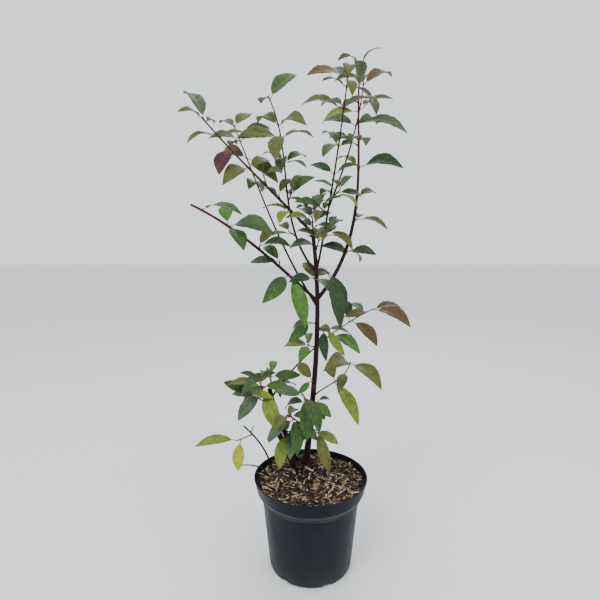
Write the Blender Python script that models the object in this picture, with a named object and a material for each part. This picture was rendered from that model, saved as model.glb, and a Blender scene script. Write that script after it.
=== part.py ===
# Potted dawn viburnum: a young shrub of several upright limbs in a round nursery pot.
#
# Units are metres and +Z is up. The origin is the centre of the pot's flat underside.
# +X is to the right of the plant's front, +Y is away from the front.
#
# Every limb is one smooth tapering curve that starts on its carrier. Its lower stretch is
# bare wood, and the rest is a leafy mass: the stem and its leaves in one solid.

import math
import random
from typing import NamedTuple

import bmesh
import bpy
from mathutils import Matrix, Vector
from mathutils.bvhtree import BVHTree

# Pot
POT_HEIGHT = 0.210
RIM_RADIUS = 0.1275
COLLAR_RADIUS = 0.1205
COLLAR_DEPTH = 0.0295
SHOULDER_RADIUS = 0.109
SHOULDER_DROP = 0.0175
FOOT_RADIUS = 0.0935
FOOT_ROUND = 0.008
WALL = 0.0018
LIP = 0.0026
FLOOR = 0.0026
POT_SIDES = 40

# Drain notches through the pot's lower edge
NOTCHES = 6
NOTCH_BEARING = -68.0
NOTCH_WIDTH = 0.019
NOTCH_HEIGHT = 0.0075
NOTCH_INNER_RADIUS = 0.078

# Potting mix
MIX_EDGE_LEVEL = 0.1965
MIX_CROWN = 0.0035
MIX_ROUGHNESS = 0.0016
MIX_RINGS = 6
MOUND_CENTRE = Vector((-0.016, 0.040))
MOUND_LEVEL = 0.2125
MOUND_FLAT_RADIUS = 0.030
MOUND_REACH = 0.034

# Clearance that neighbouring solids keep where they meet, and how far below the top of the
# mix a stem's curve starts before it is cut off level with it
GAP = 0.0003
FOOT_SINK = 0.003

# Trunk
TRUNK_FOOT = Vector((-0.010, 0.045, MOUND_LEVEL + GAP))
TRUNK_REACH = Vector((0.012, -0.035, 0.547))
TRUNK_LOW_BOW = Vector((0.014, 0.0, 0.0))
TRUNK_HIGH_BOW = Vector((0.030, 0.0, 0.0))
TRUNK_FOOT_RADIUS = 0.0073
TRUNK_TIP_RADIUS = 0.0040
ROOT_FLARE = 0.0050
ROOT_FLARE_HEIGHT = 0.018

# Sides and stations of the round pieces
TRUNK_SIDES = 9
BOUGH_SIDES = 6
STEM_SIDES = 5
STATION_SPACING = 0.042

# Leaves
LEAF_STATIONS = (0.18, 0.48, 0.78)
LEAF_THICKNESS = 0.013
LEAF_LEAST_THICKNESS = 0.0010
LEAF_SLIMNESS = 0.50
LEAF_FOLD = 0.24
LEAF_ARCH = 0.17
LIGHT = Vector((0.0, -0.60, 0.80))
PETIOLE_SHARE = 0.15
PETIOLE_RADIUS = 0.0011
PETIOLE_LIFT = 22.0
TWIN_SHORTENING = 0.88
LEAF_CLEARANCE = 0.0008
LEAF_TRIES = 10
TRY_TURN = 13.0

TERMINAL_BUD = 0.0012


class Leaf(NamedTuple):
    """A leaf, and its twin on the other side of the stem where it has one.

    place runs from 0 at the limb's foot to 1 at its tip. bearing is the compass turn from
    +X towards +Y in degrees, and rise the slope of the blade. twin is the twin's rise.
    """

    place: float
    bearing: float
    rise: float
    length: float
    twin: float | None = None
    slimness: float = LEAF_SLIMNESS


class Limb(NamedTuple):
    """A limb: where it grows, how far it reaches, how it bows and tapers, and its leaves.

    bare is the share of its length that is bare wood. A limb on the ground names the place
    of its foot in ground, and any other grows on its carrier's own curve.
    """

    carrier: str
    at: float
    reach: tuple
    low_bow: tuple = (0.0, 0.0, 0.0)
    high_bow: tuple = (0.0, 0.0, 0.0)
    foot_radius: float = 0.0016
    tip_radius: float = 0.0010
    bare: float = 0.0
    leaves: tuple = ()
    ground: tuple | None = None


LIMBS = {
    # The long limb that leans out to the upper left
    "left_long": Limb(
        "trunk", 0.985, (-0.219, -0.060, 0.222), (-0.007, 0.0, 0.006), (-0.011, 0.0, 0.003),
        0.0034, 0.0014, 0.46, (
            Leaf(0.57, 239, -35, 0.075, 12),
            Leaf(0.74, 257, -56, 0.066, None, 0.68),
            Leaf(0.74, 80, 12, 0.050),
            Leaf(0.83, 212, -20, 0.060, 5),
            Leaf(0.96, 76, 8, 0.038),
            Leaf(0.97, 137, 38, 0.086),
            Leaf(0.99, 240, -6, 0.054),
        )),
    "left_long_spur_low": Limb(
        "left_long", 0.17, (-0.010, -0.012, 0.006), leaves=(
            Leaf(0.7, 151, 4, 0.060),
            Leaf(0.9, 250, -35, 0.048, None, 0.66),
        )),
    "left_long_spur_mid": Limb(
        "left_long", 0.28, (-0.006, 0.004, 0.014), leaves=(
            Leaf(0.75, 135, 5, 0.052),
            Leaf(0.9, 57, 34, 0.050),
        )),
    "left_long_spur_high": Limb(
        "left_long", 0.40, (-0.010, 0.006, 0.028), leaves=(
            Leaf(0.86, 314, -4, 0.048),
            Leaf(0.93, 124, 24, 0.050),
        )),

    # The straight limb behind it
    "left_upper": Limb(
        "trunk", 0.690, (-0.184, 0.050, 0.398), (-0.021, 0.0, -0.008), (-0.008, 0.0, -0.002),
        0.0026, 0.0012, 0.60, (
            Leaf(0.68, 262, -20, 0.066, -10),
            Leaf(0.82, 318, -40, 0.084, 10),
            Leaf(0.91, 42, 24, 0.078, -10),
            Leaf(0.985, 128, 14, 0.062),
            Leaf(0.99, 58, 29, 0.068, None, 0.60),
        )),

    # The low limb on the left, pruned flat at its end
    "left_low": Limb(
        "trunk", 0.715, (-0.249, -0.100, 0.200), (-0.007, 0.0, 0.018), (0.002, 0.0, 0.026),
        0.0037, 0.0023, 0.60, (
            Leaf(0.73, 335, -17, 0.088),
            Leaf(0.735, 92, 32, 0.058, None, 0.64),
            Leaf(0.715, 300, -34, 0.070, None, 0.56),
            Leaf(0.93, 331, -12, 0.090),
        )),
    "left_low_spur_foot": Limb(
        "left_low", 0.22, (-0.004, -0.012, 0.006), foot_radius=0.0018, leaves=(
            Leaf(0.80, 314, -68, 0.102, None, 0.38),
            Leaf(0.80, 221, -38, 0.078),
        )),
    "left_low_spur_inner": Limb(
        "left_low", 0.32, (0.002, 0.006, 0.010), leaves=(
            Leaf(0.80, 190, -6, 0.058),
            Leaf(0.95, 134, 26, 0.054),
        )),
    "left_low_spur_outer": Limb(
        "left_low", 0.47, (-0.004, 0.004, 0.010), leaves=(
            Leaf(0.85, 58, 36, 0.052),
            Leaf(0.95, 345, -8, 0.060),
        )),

    # The slim limb that rises left of the middle
    "centre_left": Limb(
        "trunk", 0.828, (-0.102, 0.024, 0.371), (-0.059, 0.0, -0.012), (0.023, 0.0, 0.007),
        0.0027, 0.0013, 0.54, (
            Leaf(0.63, 136, 15, 0.062, -20),
            Leaf(0.635, 49, 12, 0.060),
            Leaf(0.66, 244, -40, 0.066),
            Leaf(0.77, 217, -12, 0.084, 8),
            Leaf(0.79, 250, -45, 0.080),
            Leaf(0.84, 133, 13, 0.084, -12),
            Leaf(0.985, 46, 36, 0.094, None, 0.56),
            Leaf(0.99, 111, 6, 0.056),
        )),
    "centre_left_spur": Limb(
        "centre_left", 0.22, (-0.016, -0.010, 0.012), leaves=(
            Leaf(0.60, 200, -14, 0.056, -8),
            Leaf(0.95, 110, 10, 0.050),
        )),
    "centre_left_spur_high": Limb(
        "centre_left", 0.42, (0.008, -0.010, 0.020), leaves=(
            Leaf(0.60, 330, 30, 0.056, 10),
            Leaf(0.95, 70, 40, 0.050, 20),
        )),

    # The strong limb that bows out to the right
    "right_long": Limb(
        "trunk", 0.723, (0.088, 0.010, 0.498), (0.097, 0.0, -0.021), (0.014, 0.0, 0.004),
        0.0046, 0.0014, 0.50, (
            Leaf(0.575, 328, -12, 0.084, None, 0.54),
            Leaf(0.575, 140, 20, 0.060),
            Leaf(0.68, 70, 0, 0.070, -15),
            Leaf(0.80, 160, -20, 0.072, 5),
            Leaf(0.90, 80, 15, 0.075, 10),
            Leaf(0.985, 140, 20, 0.056, 15),
        )),
    "right_long_spur_low": Limb(
        "right_long", 0.22, (0.010, -0.004, 0.004), leaves=(
            Leaf(0.85, 330, -14, 0.056),
            Leaf(0.95, 60, -30, 0.050),
        )),
    "right_long_spur_mid": Limb(
        "right_long", 0.35, (0.008, 0.003, 0.008), leaves=(
            Leaf(0.80, 324, -20, 0.068),
            Leaf(0.95, 80, 4, 0.050),
        )),
    "right_long_spur_high": Limb(
        "right_long", 0.44, (0.004, -0.006, 0.012), leaves=(
            Leaf(0.75, 46, 8, 0.058),
            Leaf(0.90, 103, 46, 0.062, None, 0.56),
        )),

    # The limb that rises in the middle and leans forward
    "centre_right": Limb(
        "trunk", 0.828, (0.055, -0.086, 0.378), (0.009, 0.0, 0.018), (0.007, 0.0, 0.017),
        0.0026, 0.0012, 0.46, (
            Leaf(0.50, 150, 20, 0.052, 10),
            Leaf(0.64, 124, 30, 0.060),
            Leaf(0.65, 243, -27, 0.066),
            Leaf(0.64, 40, 5, 0.050),
            Leaf(0.83, 165, 2, 0.074),
            Leaf(0.845, 229, -16, 0.062),
            Leaf(0.84, 306, -12, 0.076),
            Leaf(0.94, 30, -10, 0.056, 0),
            Leaf(0.98, 280, -46, 0.050),
            Leaf(0.985, 130, 20, 0.056),
            Leaf(0.99, 75, 32, 0.056, None, 0.56),
            Leaf(0.985, 215, -10, 0.080),
        )),
    "centre_right_spur_low": Limb(
        "centre_right", 0.20, (0.016, 0.008, 0.014), leaves=(
            Leaf(0.50, 340, -40, 0.060, -20),
            Leaf(0.95, 60, 10, 0.048, 20),
        )),
    "centre_right_spur_left": Limb(
        "centre_right", 0.30, (-0.018, -0.012, 0.014), foot_radius=0.0017, leaves=(
            Leaf(0.45, 250, -30, 0.050, 10),
            Leaf(0.75, 190, 10, 0.050, 20),
            Leaf(0.97, 280, 20, 0.046, 30),
        )),
    "centre_right_spur_right": Limb(
        "centre_right", 0.37, (0.020, -0.016, 0.020), foot_radius=0.0017, leaves=(
            Leaf(0.40, 300, -30, 0.058, 0),
            Leaf(0.70, 20, -10, 0.054, 15),
            Leaf(0.97, 290, 20, 0.046, 25),
        )),

    # Its branch that leans back to the right
    "right_back": Limb(
        "centre_right", 0.33, (0.083, 0.109, 0.285), (0.007, 0.0, -0.009),
        (0.015, 0.0, -0.010), 0.0022, 0.0012, 0.44, (
            Leaf(0.52, 308, -6, 0.058),
            Leaf(0.54, 150, 10, 0.050),
            Leaf(0.68, 340, -15, 0.098, None, 0.40),
            Leaf(0.67, 51, 5, 0.070),
            Leaf(0.66, 150, 10, 0.070),
            Leaf(0.83, 60, -5, 0.072, -20),
            Leaf(0.975, 39, 18, 0.090),
            Leaf(0.985, 64, 52, 0.078, None, 0.56),
            Leaf(0.98, 200, 0, 0.060),
        )),

    # The leafy top of the trunk
    "leader_spur": Limb(
        "trunk", 0.96, (-0.004, -0.020, 0.055), foot_radius=0.0022, leaves=(
            Leaf(0.30, 262, -22, 0.062, 0, 0.62),
            Leaf(0.45, 320, -10, 0.058, 10),
            Leaf(0.62, 215, 5, 0.060, 15),
            Leaf(0.80, 300, 10, 0.056, 20),
            Leaf(0.96, 190, 30, 0.054, 30),
        )),
    "leader_spur_back": Limb(
        "trunk", 0.90, (0.012, 0.040, 0.040), foot_radius=0.0018, leaves=(
            Leaf(0.45, 20, -20, 0.064, -10),
            Leaf(0.75, 110, 0, 0.066, 0),
            Leaf(0.96, 50, 20, 0.056, 20),
        )),

    # Short twigs about the middle of the trunk
    "trunk_spur_fork": Limb(
        "trunk", 0.80, (-0.008, -0.012, 0.004), leaves=(
            Leaf(0.80, 307, -30, 0.062),
            Leaf(0.95, 210, -10, 0.054),
        )),
    "trunk_spur_back": Limb(
        "trunk", 0.78, (-0.006, 0.022, 0.014), leaves=(
            Leaf(0.60, 117, 28, 0.058, 10),
            Leaf(0.95, 60, 5, 0.060),
        )),
    "trunk_spur_hanging": Limb(
        "trunk", 0.835, (0.024, -0.034, -0.002), (0.0, 0.0, 0.005), (0.0, 0.0, 0.008),
        0.0016, 0.0012, 0.0, (
            Leaf(0.93, 280, -70, 0.108, None, 0.36),
            Leaf(0.95, 30, -62, 0.080, None, 0.38),
        )),
    "trunk_spur_left": Limb(
        "trunk", 0.62, (-0.014, -0.006, 0.004), leaves=(
            Leaf(0.85, 205, -35, 0.060),
            Leaf(0.90, 140, -20, 0.050),
        )),
    "trunk_spur_left_low": Limb(
        "trunk", 0.52, (-0.020, -0.010, 0.008), leaves=(
            Leaf(0.75, 190, -2, 0.050),
            Leaf(0.88, 230, -25, 0.052, 15),
            Leaf(0.97, 290, 40, 0.040),
        )),
    "trunk_spur_right": Limb(
        "trunk", 0.60, (0.022, 0.014, -0.004), leaves=(
            Leaf(0.60, 275, -56, 0.066, None, 0.40),
            Leaf(0.80, 325, -45, 0.066, None, 0.36),
            Leaf(0.95, 47, -24, 0.074),
        )),
    "trunk_spur_low": Limb(
        "trunk", 0.38, (-0.006, -0.016, 0.002), leaves=(
            Leaf(0.85, 130, 28, 0.050, None, 0.60),
            Leaf(0.95, 200, -38, 0.036),
        )),

    # Two old stems beside the trunk, cut back low down, with young shoots on top
    "stub_front": Limb(
        "ground", 0.0, (-0.068, -0.040, 0.194), (0.0, 0.0, 0.0), (-0.010, 0.0, 0.0),
        0.0072, 0.0056, 1.0, (), (-0.034, 0.022)),
    "stub_back": Limb(
        "ground", 0.0, (-0.064, -0.018, 0.188), (0.0, 0.0, 0.0), (-0.010, 0.0, 0.0),
        0.0070, 0.0056, 1.0, (), (-0.030, 0.056)),
    "low_left": Limb(
        "stub_front", 0.97, (-0.010, -0.010, 0.040), foot_radius=0.0024, leaves=(
            Leaf(0.28, 205, -50, 0.068),
            Leaf(0.34, 300, -50, 0.080),
            Leaf(0.60, 200, 6, 0.066, -12),
            Leaf(0.80, 250, -10, 0.052, 5),
            Leaf(0.97, 170, 20, 0.040, 25),
        )),
    "low_left_side": Limb(
        "stub_front", 0.90, (-0.034, -0.006, 0.020), foot_radius=0.0018, leaves=(
            Leaf(0.60, 230, 0, 0.050, -20),
            Leaf(0.96, 165, 22, 0.058, -4),
        )),
    "low_left_back": Limb(
        "stub_back", 0.96, (0.002, 0.012, 0.040), foot_radius=0.0024, leaves=(
            Leaf(0.35, 20, -20, 0.072, -30),
            Leaf(0.60, 110, -5, 0.070, -20),
            Leaf(0.80, 10, 0, 0.060, -10),
            Leaf(0.97, 80, 20, 0.046, 20),
        )),
    "cross": Limb(
        "stub_back", 0.888, (0.241, 0.060, 0.198), (-0.023, 0.0, 0.018), (-0.022, 0.0, 0.020),
        0.0024, 0.0011, 0.60, (
            Leaf(0.64, 313, -28, 0.078),
            Leaf(0.65, 110, -10, 0.070),
            Leaf(0.80, 96, 44, 0.056),
            Leaf(0.82, 314, -36, 0.076),
            Leaf(0.93, 134, 12, 0.058),
            Leaf(0.95, 200, -10, 0.052),
            Leaf(0.985, 20, -5, 0.078),
            Leaf(0.99, 330, -27, 0.086),
        )),

    # The thin limb low on the right
    "right_low": Limb(
        "trunk", 0.305, (0.074, -0.094, 0.107), (0.002, 0.0, 0.005), (0.019, 0.0, -0.014),
        0.0018, 0.0011, 0.0, (
            Leaf(0.50, 305, -47, 0.092, None, 0.40),
            Leaf(0.52, 100, 0, 0.064),
            Leaf(0.80, 250, -32, 0.052),
            Leaf(0.82, 307, -12, 0.056),
            Leaf(0.98, 228, 0, 0.082),
            Leaf(0.985, 314, -25, 0.078),
        )),
    "right_low_spur": Limb(
        "trunk", 0.28, (0.012, -0.014, 0.006), leaves=(
            Leaf(0.80, 330, 14, 0.030),
            Leaf(0.92, 300, -48, 0.038),
        )),

    # The leafy shoots over the front of the pot
    "low_front_left": Limb(
        "trunk", 0.13, (-0.050, -0.100, 0.088), (0.0, 0.0, 0.010), (0.0, 0.0, 0.014),
        0.0022, 0.0014, 0.36, (
            Leaf(0.50, 255, -52, 0.072, -40),
            Leaf(0.64, 195, -34, 0.064, -40),
            Leaf(0.76, 284, -62, 0.068, -35),
            Leaf(0.86, 212, -46, 0.060, -20),
            Leaf(0.97, 240, -12, 0.058, -15),
        )),
    "low_front": Limb(
        "trunk", 0.20, (-0.020, -0.075, 0.090), (0.0, 0.0, 0.008), (0.0, 0.0, 0.012),
        0.0020, 0.0013, 0.0, (
            Leaf(0.55, 190, -30, 0.066, -40),
            Leaf(0.80, 262, -70, 0.080, None, 0.48),
            Leaf(0.84, 170, 8, 0.056),
            Leaf(0.97, 315, -60, 0.076, None, 0.44),
        )),
    "low_front_right": Limb(
        "trunk", 0.10, (0.016, -0.070, 0.060), (0.0, 0.0, 0.008), (0.0, 0.0, 0.010),
        0.0018, 0.0012, 0.0, (
            Leaf(0.60, 190, -40, 0.066, -30),
            Leaf(0.95, 300, -62, 0.080, None, 0.38),
            Leaf(0.97, 220, -44, 0.058),
        )),
    "low_front_edge": Limb(
        "low_front_left", 0.30, (-0.034, -0.036, 0.004), foot_radius=0.0018, leaves=(
            Leaf(0.55, 240, -50, 0.060, -30),
            Leaf(0.97, 262, -60, 0.068, -20),
        )),

    # Thin old twigs at the foot, the first with its last two leaves
    "basal_twig": Limb(
        "ground", 0.0, (-0.055, -0.080, 0.150), (0.014, 0.0, 0.012), (0.010, 0.0, 0.010),
        0.0022, 0.0017, 1.0, (), (-0.088, 0.030)),
    "yellow_leaves": Limb(
        "basal_twig", 0.80, (-0.032, -0.010, -0.010), foot_radius=0.0014, leaves=(
            Leaf(0.75, 255, -72, 0.056, None, 0.58),
            Leaf(0.97, 190, -6, 0.078, None, 0.34),
        )),
    "basal_twig_stub": Limb(
        "basal_twig", 0.84, (0.006, 0.004, 0.014), foot_radius=0.0013, bare=1.0),
    "low_twig": Limb(
        "ground", 0.0, (-0.070, -0.045, 0.054), (0.016, 0.0, 0.026), (0.0, 0.0, 0.014),
        0.0018, 0.0012, 1.0, (), (-0.094, 0.006)),
}


def blend(low, high, share):
    return low + (high - low) * share


def limb_line(name):
    """The four control points of a limb's curve."""
    if name == "trunk":
        foot, reach = TRUNK_FOOT, TRUNK_REACH
        low_bow, high_bow = TRUNK_LOW_BOW, TRUNK_HIGH_BOW
    else:
        limb = LIMBS[name]
        reach, low_bow, high_bow = Vector(limb.reach), Vector(limb.low_bow), Vector(limb.high_bow)
        if limb.ground:
            x, y = limb.ground
            foot = Vector((x, y, ground_level(x, y) - FOOT_SINK))
        else:
            foot = limb_point(limb.carrier, limb.at)
    return (foot, foot + reach / 3.0 + low_bow, foot + reach * (2.0 / 3.0) + high_bow,
            foot + reach)


def limb_point(name, place):
    a, b, c, d = limb_line(name)
    rest = 1.0 - place
    return (a * rest ** 3 + b * (3.0 * place * rest ** 2) + c * (3.0 * place ** 2 * rest)
            + d * place ** 3)


def limb_heading(name, place):
    a, b, c, d = limb_line(name)
    rest = 1.0 - place
    slope = (b - a) * rest ** 2 + (c - b) * (2.0 * place * rest) + (d - c) * place ** 2
    return slope.normalized()


def limb_length(name):
    return Vector(TRUNK_REACH if name == "trunk" else LIMBS[name].reach).length


def limb_radius(name, place):
    if name == "trunk":
        flare = ROOT_FLARE * math.exp(-place * limb_length(name) / ROOT_FLARE_HEIGHT)
        return blend(TRUNK_FOOT_RADIUS, TRUNK_TIP_RADIUS, place) + flare
    limb = LIMBS[name]
    return blend(limb.foot_radius, limb.tip_radius, place)


def ring_frame(heading, toward=Vector((0.0, 1.0, 0.0))):
    """Two unit vectors square to the heading, the first as near to toward as it can be."""
    side = toward - heading * toward.dot(heading)
    if side.length < 0.2:
        side = Vector((1.0, 0.0, 0.0)) - heading * heading.x
    side.normalize()
    return side, heading.cross(side)


def limb_tube(name, first, last, sides, swell=0.0, flat_foot=False):
    """Points and faces of a closed tube along a limb, from one place to another."""
    steps = max(2, round((last - first) * limb_length(name) / STATION_SPACING))
    places = [blend(first, last, step / steps) for step in range(steps + 1)]
    if name == "trunk":
        places[1:1] = [0.012, 0.030]
    points = []
    for index, place in enumerate(places):
        centre = limb_point(name, place)
        if index in (0, len(places) - 1):
            centre += limb_heading(name, place) * (swell if index else -swell)
        radius = limb_radius(name, place) + swell
        side, other = ring_frame(limb_heading(name, place))
        if flat_foot and index == 0:
            side, other = Vector((0.0, 1.0, 0.0)), Vector((-1.0, 0.0, 0.0))
        for corner in range(sides):
            turn = 2.0 * math.pi * corner / sides
            points.append(centre + (side * math.cos(turn) + other * math.sin(turn)) * radius)
    faces = [tuple(reversed(range(sides)))]
    for index in range(len(places) - 1):
        low, high = index * sides, (index + 1) * sides
        for corner in range(sides):
            after = (corner + 1) % sides
            faces.append((low + corner, low + after, high + after, high + corner))
    top = (len(places) - 1) * sides
    if last >= 1.0 and name != "trunk" and LIMBS[name].leaves:
        points.append(limb_point(name, last) + limb_heading(name, last) * TERMINAL_BUD * 2.0)
        tip = len(points) - 1
        faces += [(top + corner, top + (corner + 1) % sides, tip) for corner in range(sides)]
    else:
        faces.append(tuple(range(top, top + sides)))
    return points, faces


def half_width(share):
    """Outline of a leaf: half its width, as a part of the greatest, at a share of its length."""
    return math.sin(math.pi * share ** 0.9) ** 0.75


def direction(bearing, rise):
    turn, slope = math.radians(bearing), math.radians(rise)
    return Vector((math.cos(slope) * math.cos(turn), math.cos(slope) * math.sin(turn),
                   math.sin(slope)))


def leaf_solid(limb_name, place, bearing, rise, length, slimness, draw):
    """Points and faces of one leaf: its stalk, and a blade with a folded, arching midrib."""
    chord = direction(bearing, rise)
    stalk = direction(bearing, min(rise + PETIOLE_LIFT, 80.0))
    root = limb_point(limb_name, place) + stalk * limb_radius(limb_name, place) * 0.3
    base = root + stalk * (limb_radius(limb_name, place) + PETIOLE_SHARE * length)
    up = LIGHT - chord * LIGHT.dot(chord)
    if up.length < 0.3:
        up = Vector((0.0, 0.0, 1.0)) - chord * chord.z
    up.normalize()
    up = Matrix.Rotation(math.radians(draw.uniform(-22.0, 22.0)), 3, chord) @ up
    across = chord.cross(up)
    arch = LEAF_ARCH * draw.uniform(0.7, 1.3) * (1.0 - 0.45 * abs(rise) / 90.0)
    fold = LEAF_FOLD * draw.uniform(0.6, 1.4)
    thickness = max(LEAF_LEAST_THICKNESS, LEAF_THICKNESS * length)
    stations = [(root, PETIOLE_RADIUS, 0.0, PETIOLE_RADIUS), (base, PETIOLE_RADIUS, 0.0, PETIOLE_RADIUS)]
    for share in LEAF_STATIONS:
        centre = base + chord * share * length + up * arch * length * 4.0 * share * (1.0 - share)
        half = 0.5 * slimness * length * half_width(share)
        stations.append((centre, half, fold * half, thickness * 0.5))
    points = []
    for centre, half, lift, thick in stations:
        points += [centre - across * half + up * lift, centre + up * thick,
                   centre + across * half + up * lift, centre - up * thick]
    points.append(base + chord * length)
    faces = [(3, 2, 1, 0)]
    for index in range(len(stations) - 1):
        low, high = index * 4, (index + 1) * 4
        for corner in range(4):
            after = (corner + 1) % 4
            faces.append((low + corner, low + after, high + after, high + corner))
    top, tip = (len(stations) - 1) * 4, len(points) - 1
    faces += [(top + corner, top + (corner + 1) % 4, tip) for corner in range(4)]
    return points, faces


def swollen(points, faces, amount):
    """The same solid with its skin moved out, to test for room round it."""
    normals = [Vector() for _ in points]
    for face in faces:
        a, b, c = (points[index] for index in face[:3])
        normal = (b - a).cross(c - a)
        for index in face:
            normals[index] += normal
    return [point + normal.normalized() * amount for point, normal in zip(points, normals)]


def single_leaves(limb):
    """Each leaf of a limb by itself: the leaf as drawn, then its twin across the stem."""
    for index, leaf in enumerate(limb.leaves):
        yield f"{index}a", leaf.place, leaf.bearing, leaf.rise, leaf.length, leaf.slimness
        if leaf.twin is not None:
            yield (f"{index}b", leaf.place, leaf.bearing + 180.0, leaf.twin,
                   leaf.length * TWIN_SHORTENING, leaf.slimness)


def tree_of(points, faces):
    return BVHTree.FromPolygons([tuple(point) for point in points], faces)


def grow_leaves(name, taken):
    """The leaves of one limb that find room, each as points and faces.

    A leaf that would touch something already there is turned a little, first one way and
    then the other, and is left out if no try is clear. On its own limb only the blade
    counts, because the stalk is joined to the stem.
    """
    grown = []
    for label, place, bearing, rise, length, slimness in single_leaves(LIMBS[name]):
        for attempt in range(LEAF_TRIES):
            draw = random.Random(f"{name} {label} {attempt}")
            turn = TRY_TURN * ((attempt + 1) // 2) * (-1.0 if attempt % 2 else 1.0)
            points, faces = leaf_solid(name, place, bearing + turn + draw.uniform(-4.0, 4.0),
                                       rise + draw.uniform(-4.0, 4.0), length, slimness, draw)
            room = swollen(points, faces, LEAF_CLEARANCE)
            whole = tree_of(room, faces)
            blade = tree_of(room, [face for face in faces if min(face) >= 4])
            if not any((blade if owner == name else whole).overlap(other)
                       for owner, other in taken):
                grown.append((points, faces))
                taken.append((name, tree_of(points, faces)))
                break
        else:
            print("no room for leaf", name, label)
    return grown


def material(name, colour, roughness):
    finish = bpy.data.materials.new(name)
    finish.use_nodes = True
    shader = finish.node_tree.nodes["Principled BSDF"]
    shader.inputs["Base Color"].default_value = (*colour, 1.0)
    shader.inputs["Roughness"].default_value = roughness
    shader.inputs["Metallic"].default_value = 0.0
    return finish


def add_object(name, points, faces, finish, place=Vector((0.0, 0.0, 0.0))):
    """A mesh object at its own place in the world, with its normals pointing out."""
    mesh = bpy.data.meshes.new(name)
    mesh.from_pydata([tuple(point - place) for point in points], [], faces)
    solid = bmesh.new()
    solid.from_mesh(mesh)
    bmesh.ops.recalc_face_normals(solid, faces=solid.faces)
    bmesh.ops.triangulate(solid, faces=solid.faces)
    solid.to_mesh(mesh)
    solid.free()
    piece = bpy.data.objects.new(name, mesh)
    piece.location = place
    piece.data.materials.append(finish)
    bpy.context.scene.collection.objects.link(piece)
    return piece


def settle_modifiers(piece):
    """Turns a piece's modifiers into its own mesh."""
    bpy.context.view_layer.update()
    evaluated = piece.evaluated_get(bpy.context.evaluated_depsgraph_get())
    mesh = bpy.data.meshes.new_from_object(evaluated)
    piece.modifiers.clear()
    old = piece.data
    piece.data = mesh
    bpy.data.meshes.remove(old)


def remove_objects(pieces):
    for piece in list(pieces):
        bpy.data.objects.remove(piece, do_unlink=True)


def join_all(piece, extras):
    """Fuses the extra solids into the piece, and removes them."""
    together = bpy.data.collections.new("joining")
    bpy.context.scene.collection.children.link(together)
    for extra in extras:
        bpy.context.scene.collection.objects.unlink(extra)
        together.objects.link(extra)
    apart = piece.data.copy()
    for solver in ("EXACT", "MANIFOLD"):
        piece.data = apart.copy()
        union = piece.modifiers.new("union", "BOOLEAN")
        union.operation = "UNION"
        union.operand_type = "COLLECTION"
        union.collection = together
        union.solver = solver
        settle_modifiers(piece)
        keep_largest_body(piece)
        if is_closed(piece):
            break
        print("not closed after", solver, piece.name)
    remove_objects(together.objects)
    bpy.data.collections.remove(together)


def is_closed(piece):
    solid = bmesh.new()
    solid.from_mesh(piece.data)
    closed = all(len(edge.link_faces) == 2 for edge in solid.edges)
    solid.free()
    return closed


def keep_largest_body(piece):
    """Drops loose scraps, so that the piece is one body."""
    solid = bmesh.new()
    solid.from_mesh(piece.data)
    unseen = set(solid.verts)
    bodies = []
    while unseen:
        body, edge = set(), {unseen.pop()}
        while edge:
            vert = edge.pop()
            body.add(vert)
            near = {link.other_vert(vert) for link in vert.link_edges} & unseen
            unseen -= near
            edge |= near
        bodies.append(body)
    bodies.sort(key=len)
    for body in bodies[:-1]:
        bmesh.ops.delete(solid, geom=list(body), context="VERTS")
    bmesh.ops.triangulate(solid, faces=solid.faces)
    solid.to_mesh(piece.data)
    solid.free()


def cut_clear_of_carrier(piece, name):
    """Cuts a limb's foot to sit on its carrier or on the mix, with the usual gap."""
    limb = LIMBS[name]
    if limb.carrier == "ground":
        points, faces = mix_solid(GAP)
    else:
        points, faces = limb_tube(limb.carrier, 0.0, 1.0, wood_sides(limb.carrier), GAP)
    cutter = add_object("cutter", points, faces, piece.data.materials[0])
    cut = piece.modifiers.new("cut", "BOOLEAN")
    cut.operation = "DIFFERENCE"
    cut.object = cutter
    cut.solver = "EXACT"
    settle_modifiers(piece)
    remove_objects([cutter])
    keep_largest_body(piece)


def wood_sides(name):
    return TRUNK_SIDES if name == "trunk" else BOUGH_SIDES


def ring_points(radius, level, sides=POT_SIDES):
    return [Vector((radius * math.cos(2.0 * math.pi * step / sides),
                    radius * math.sin(2.0 * math.pi * step / sides), level))
            for step in range(sides)]


def turned_solid(profile):
    """Points and faces of a solid turned about Z, from its foot on the axis to its top."""
    points = [Vector((0.0, 0.0, profile[0][1]))]
    for radius, level in profile[1:-1]:
        points += ring_points(radius, level)
    points.append(Vector((0.0, 0.0, profile[-1][1])))
    last = len(points) - 1
    faces = []
    for step in range(POT_SIDES):
        after = (step + 1) % POT_SIDES
        faces.append((0, 1 + after, 1 + step))
        faces.append((last, last - POT_SIDES + step, last - POT_SIDES + after))
        for ring in range(len(profile) - 3):
            low, high = 1 + ring * POT_SIDES, 1 + (ring + 1) * POT_SIDES
            faces.append((low + step, low + after, high + after, high + step))
    return points, faces


def pot_outer_profile():
    """The pot's outer side from the foot up: the rounded foot, the body and the collar."""
    collar_foot = POT_HEIGHT - COLLAR_DEPTH
    rounding = [(FOOT_RADIUS - FOOT_ROUND * (1.0 - math.sin(turn)),
                 FOOT_ROUND * (1.0 - math.cos(turn)))
                for turn in (0.0, math.radians(30.0), math.radians(60.0), math.radians(90.0))]
    return rounding + [
        (SHOULDER_RADIUS, collar_foot - SHOULDER_DROP),
        (COLLAR_RADIUS, collar_foot),
        (RIM_RADIUS - 0.0008, POT_HEIGHT - 0.0030),
        (RIM_RADIUS, POT_HEIGHT - 0.0012),
        (RIM_RADIUS - 0.0006, POT_HEIGHT),
    ]


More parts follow.
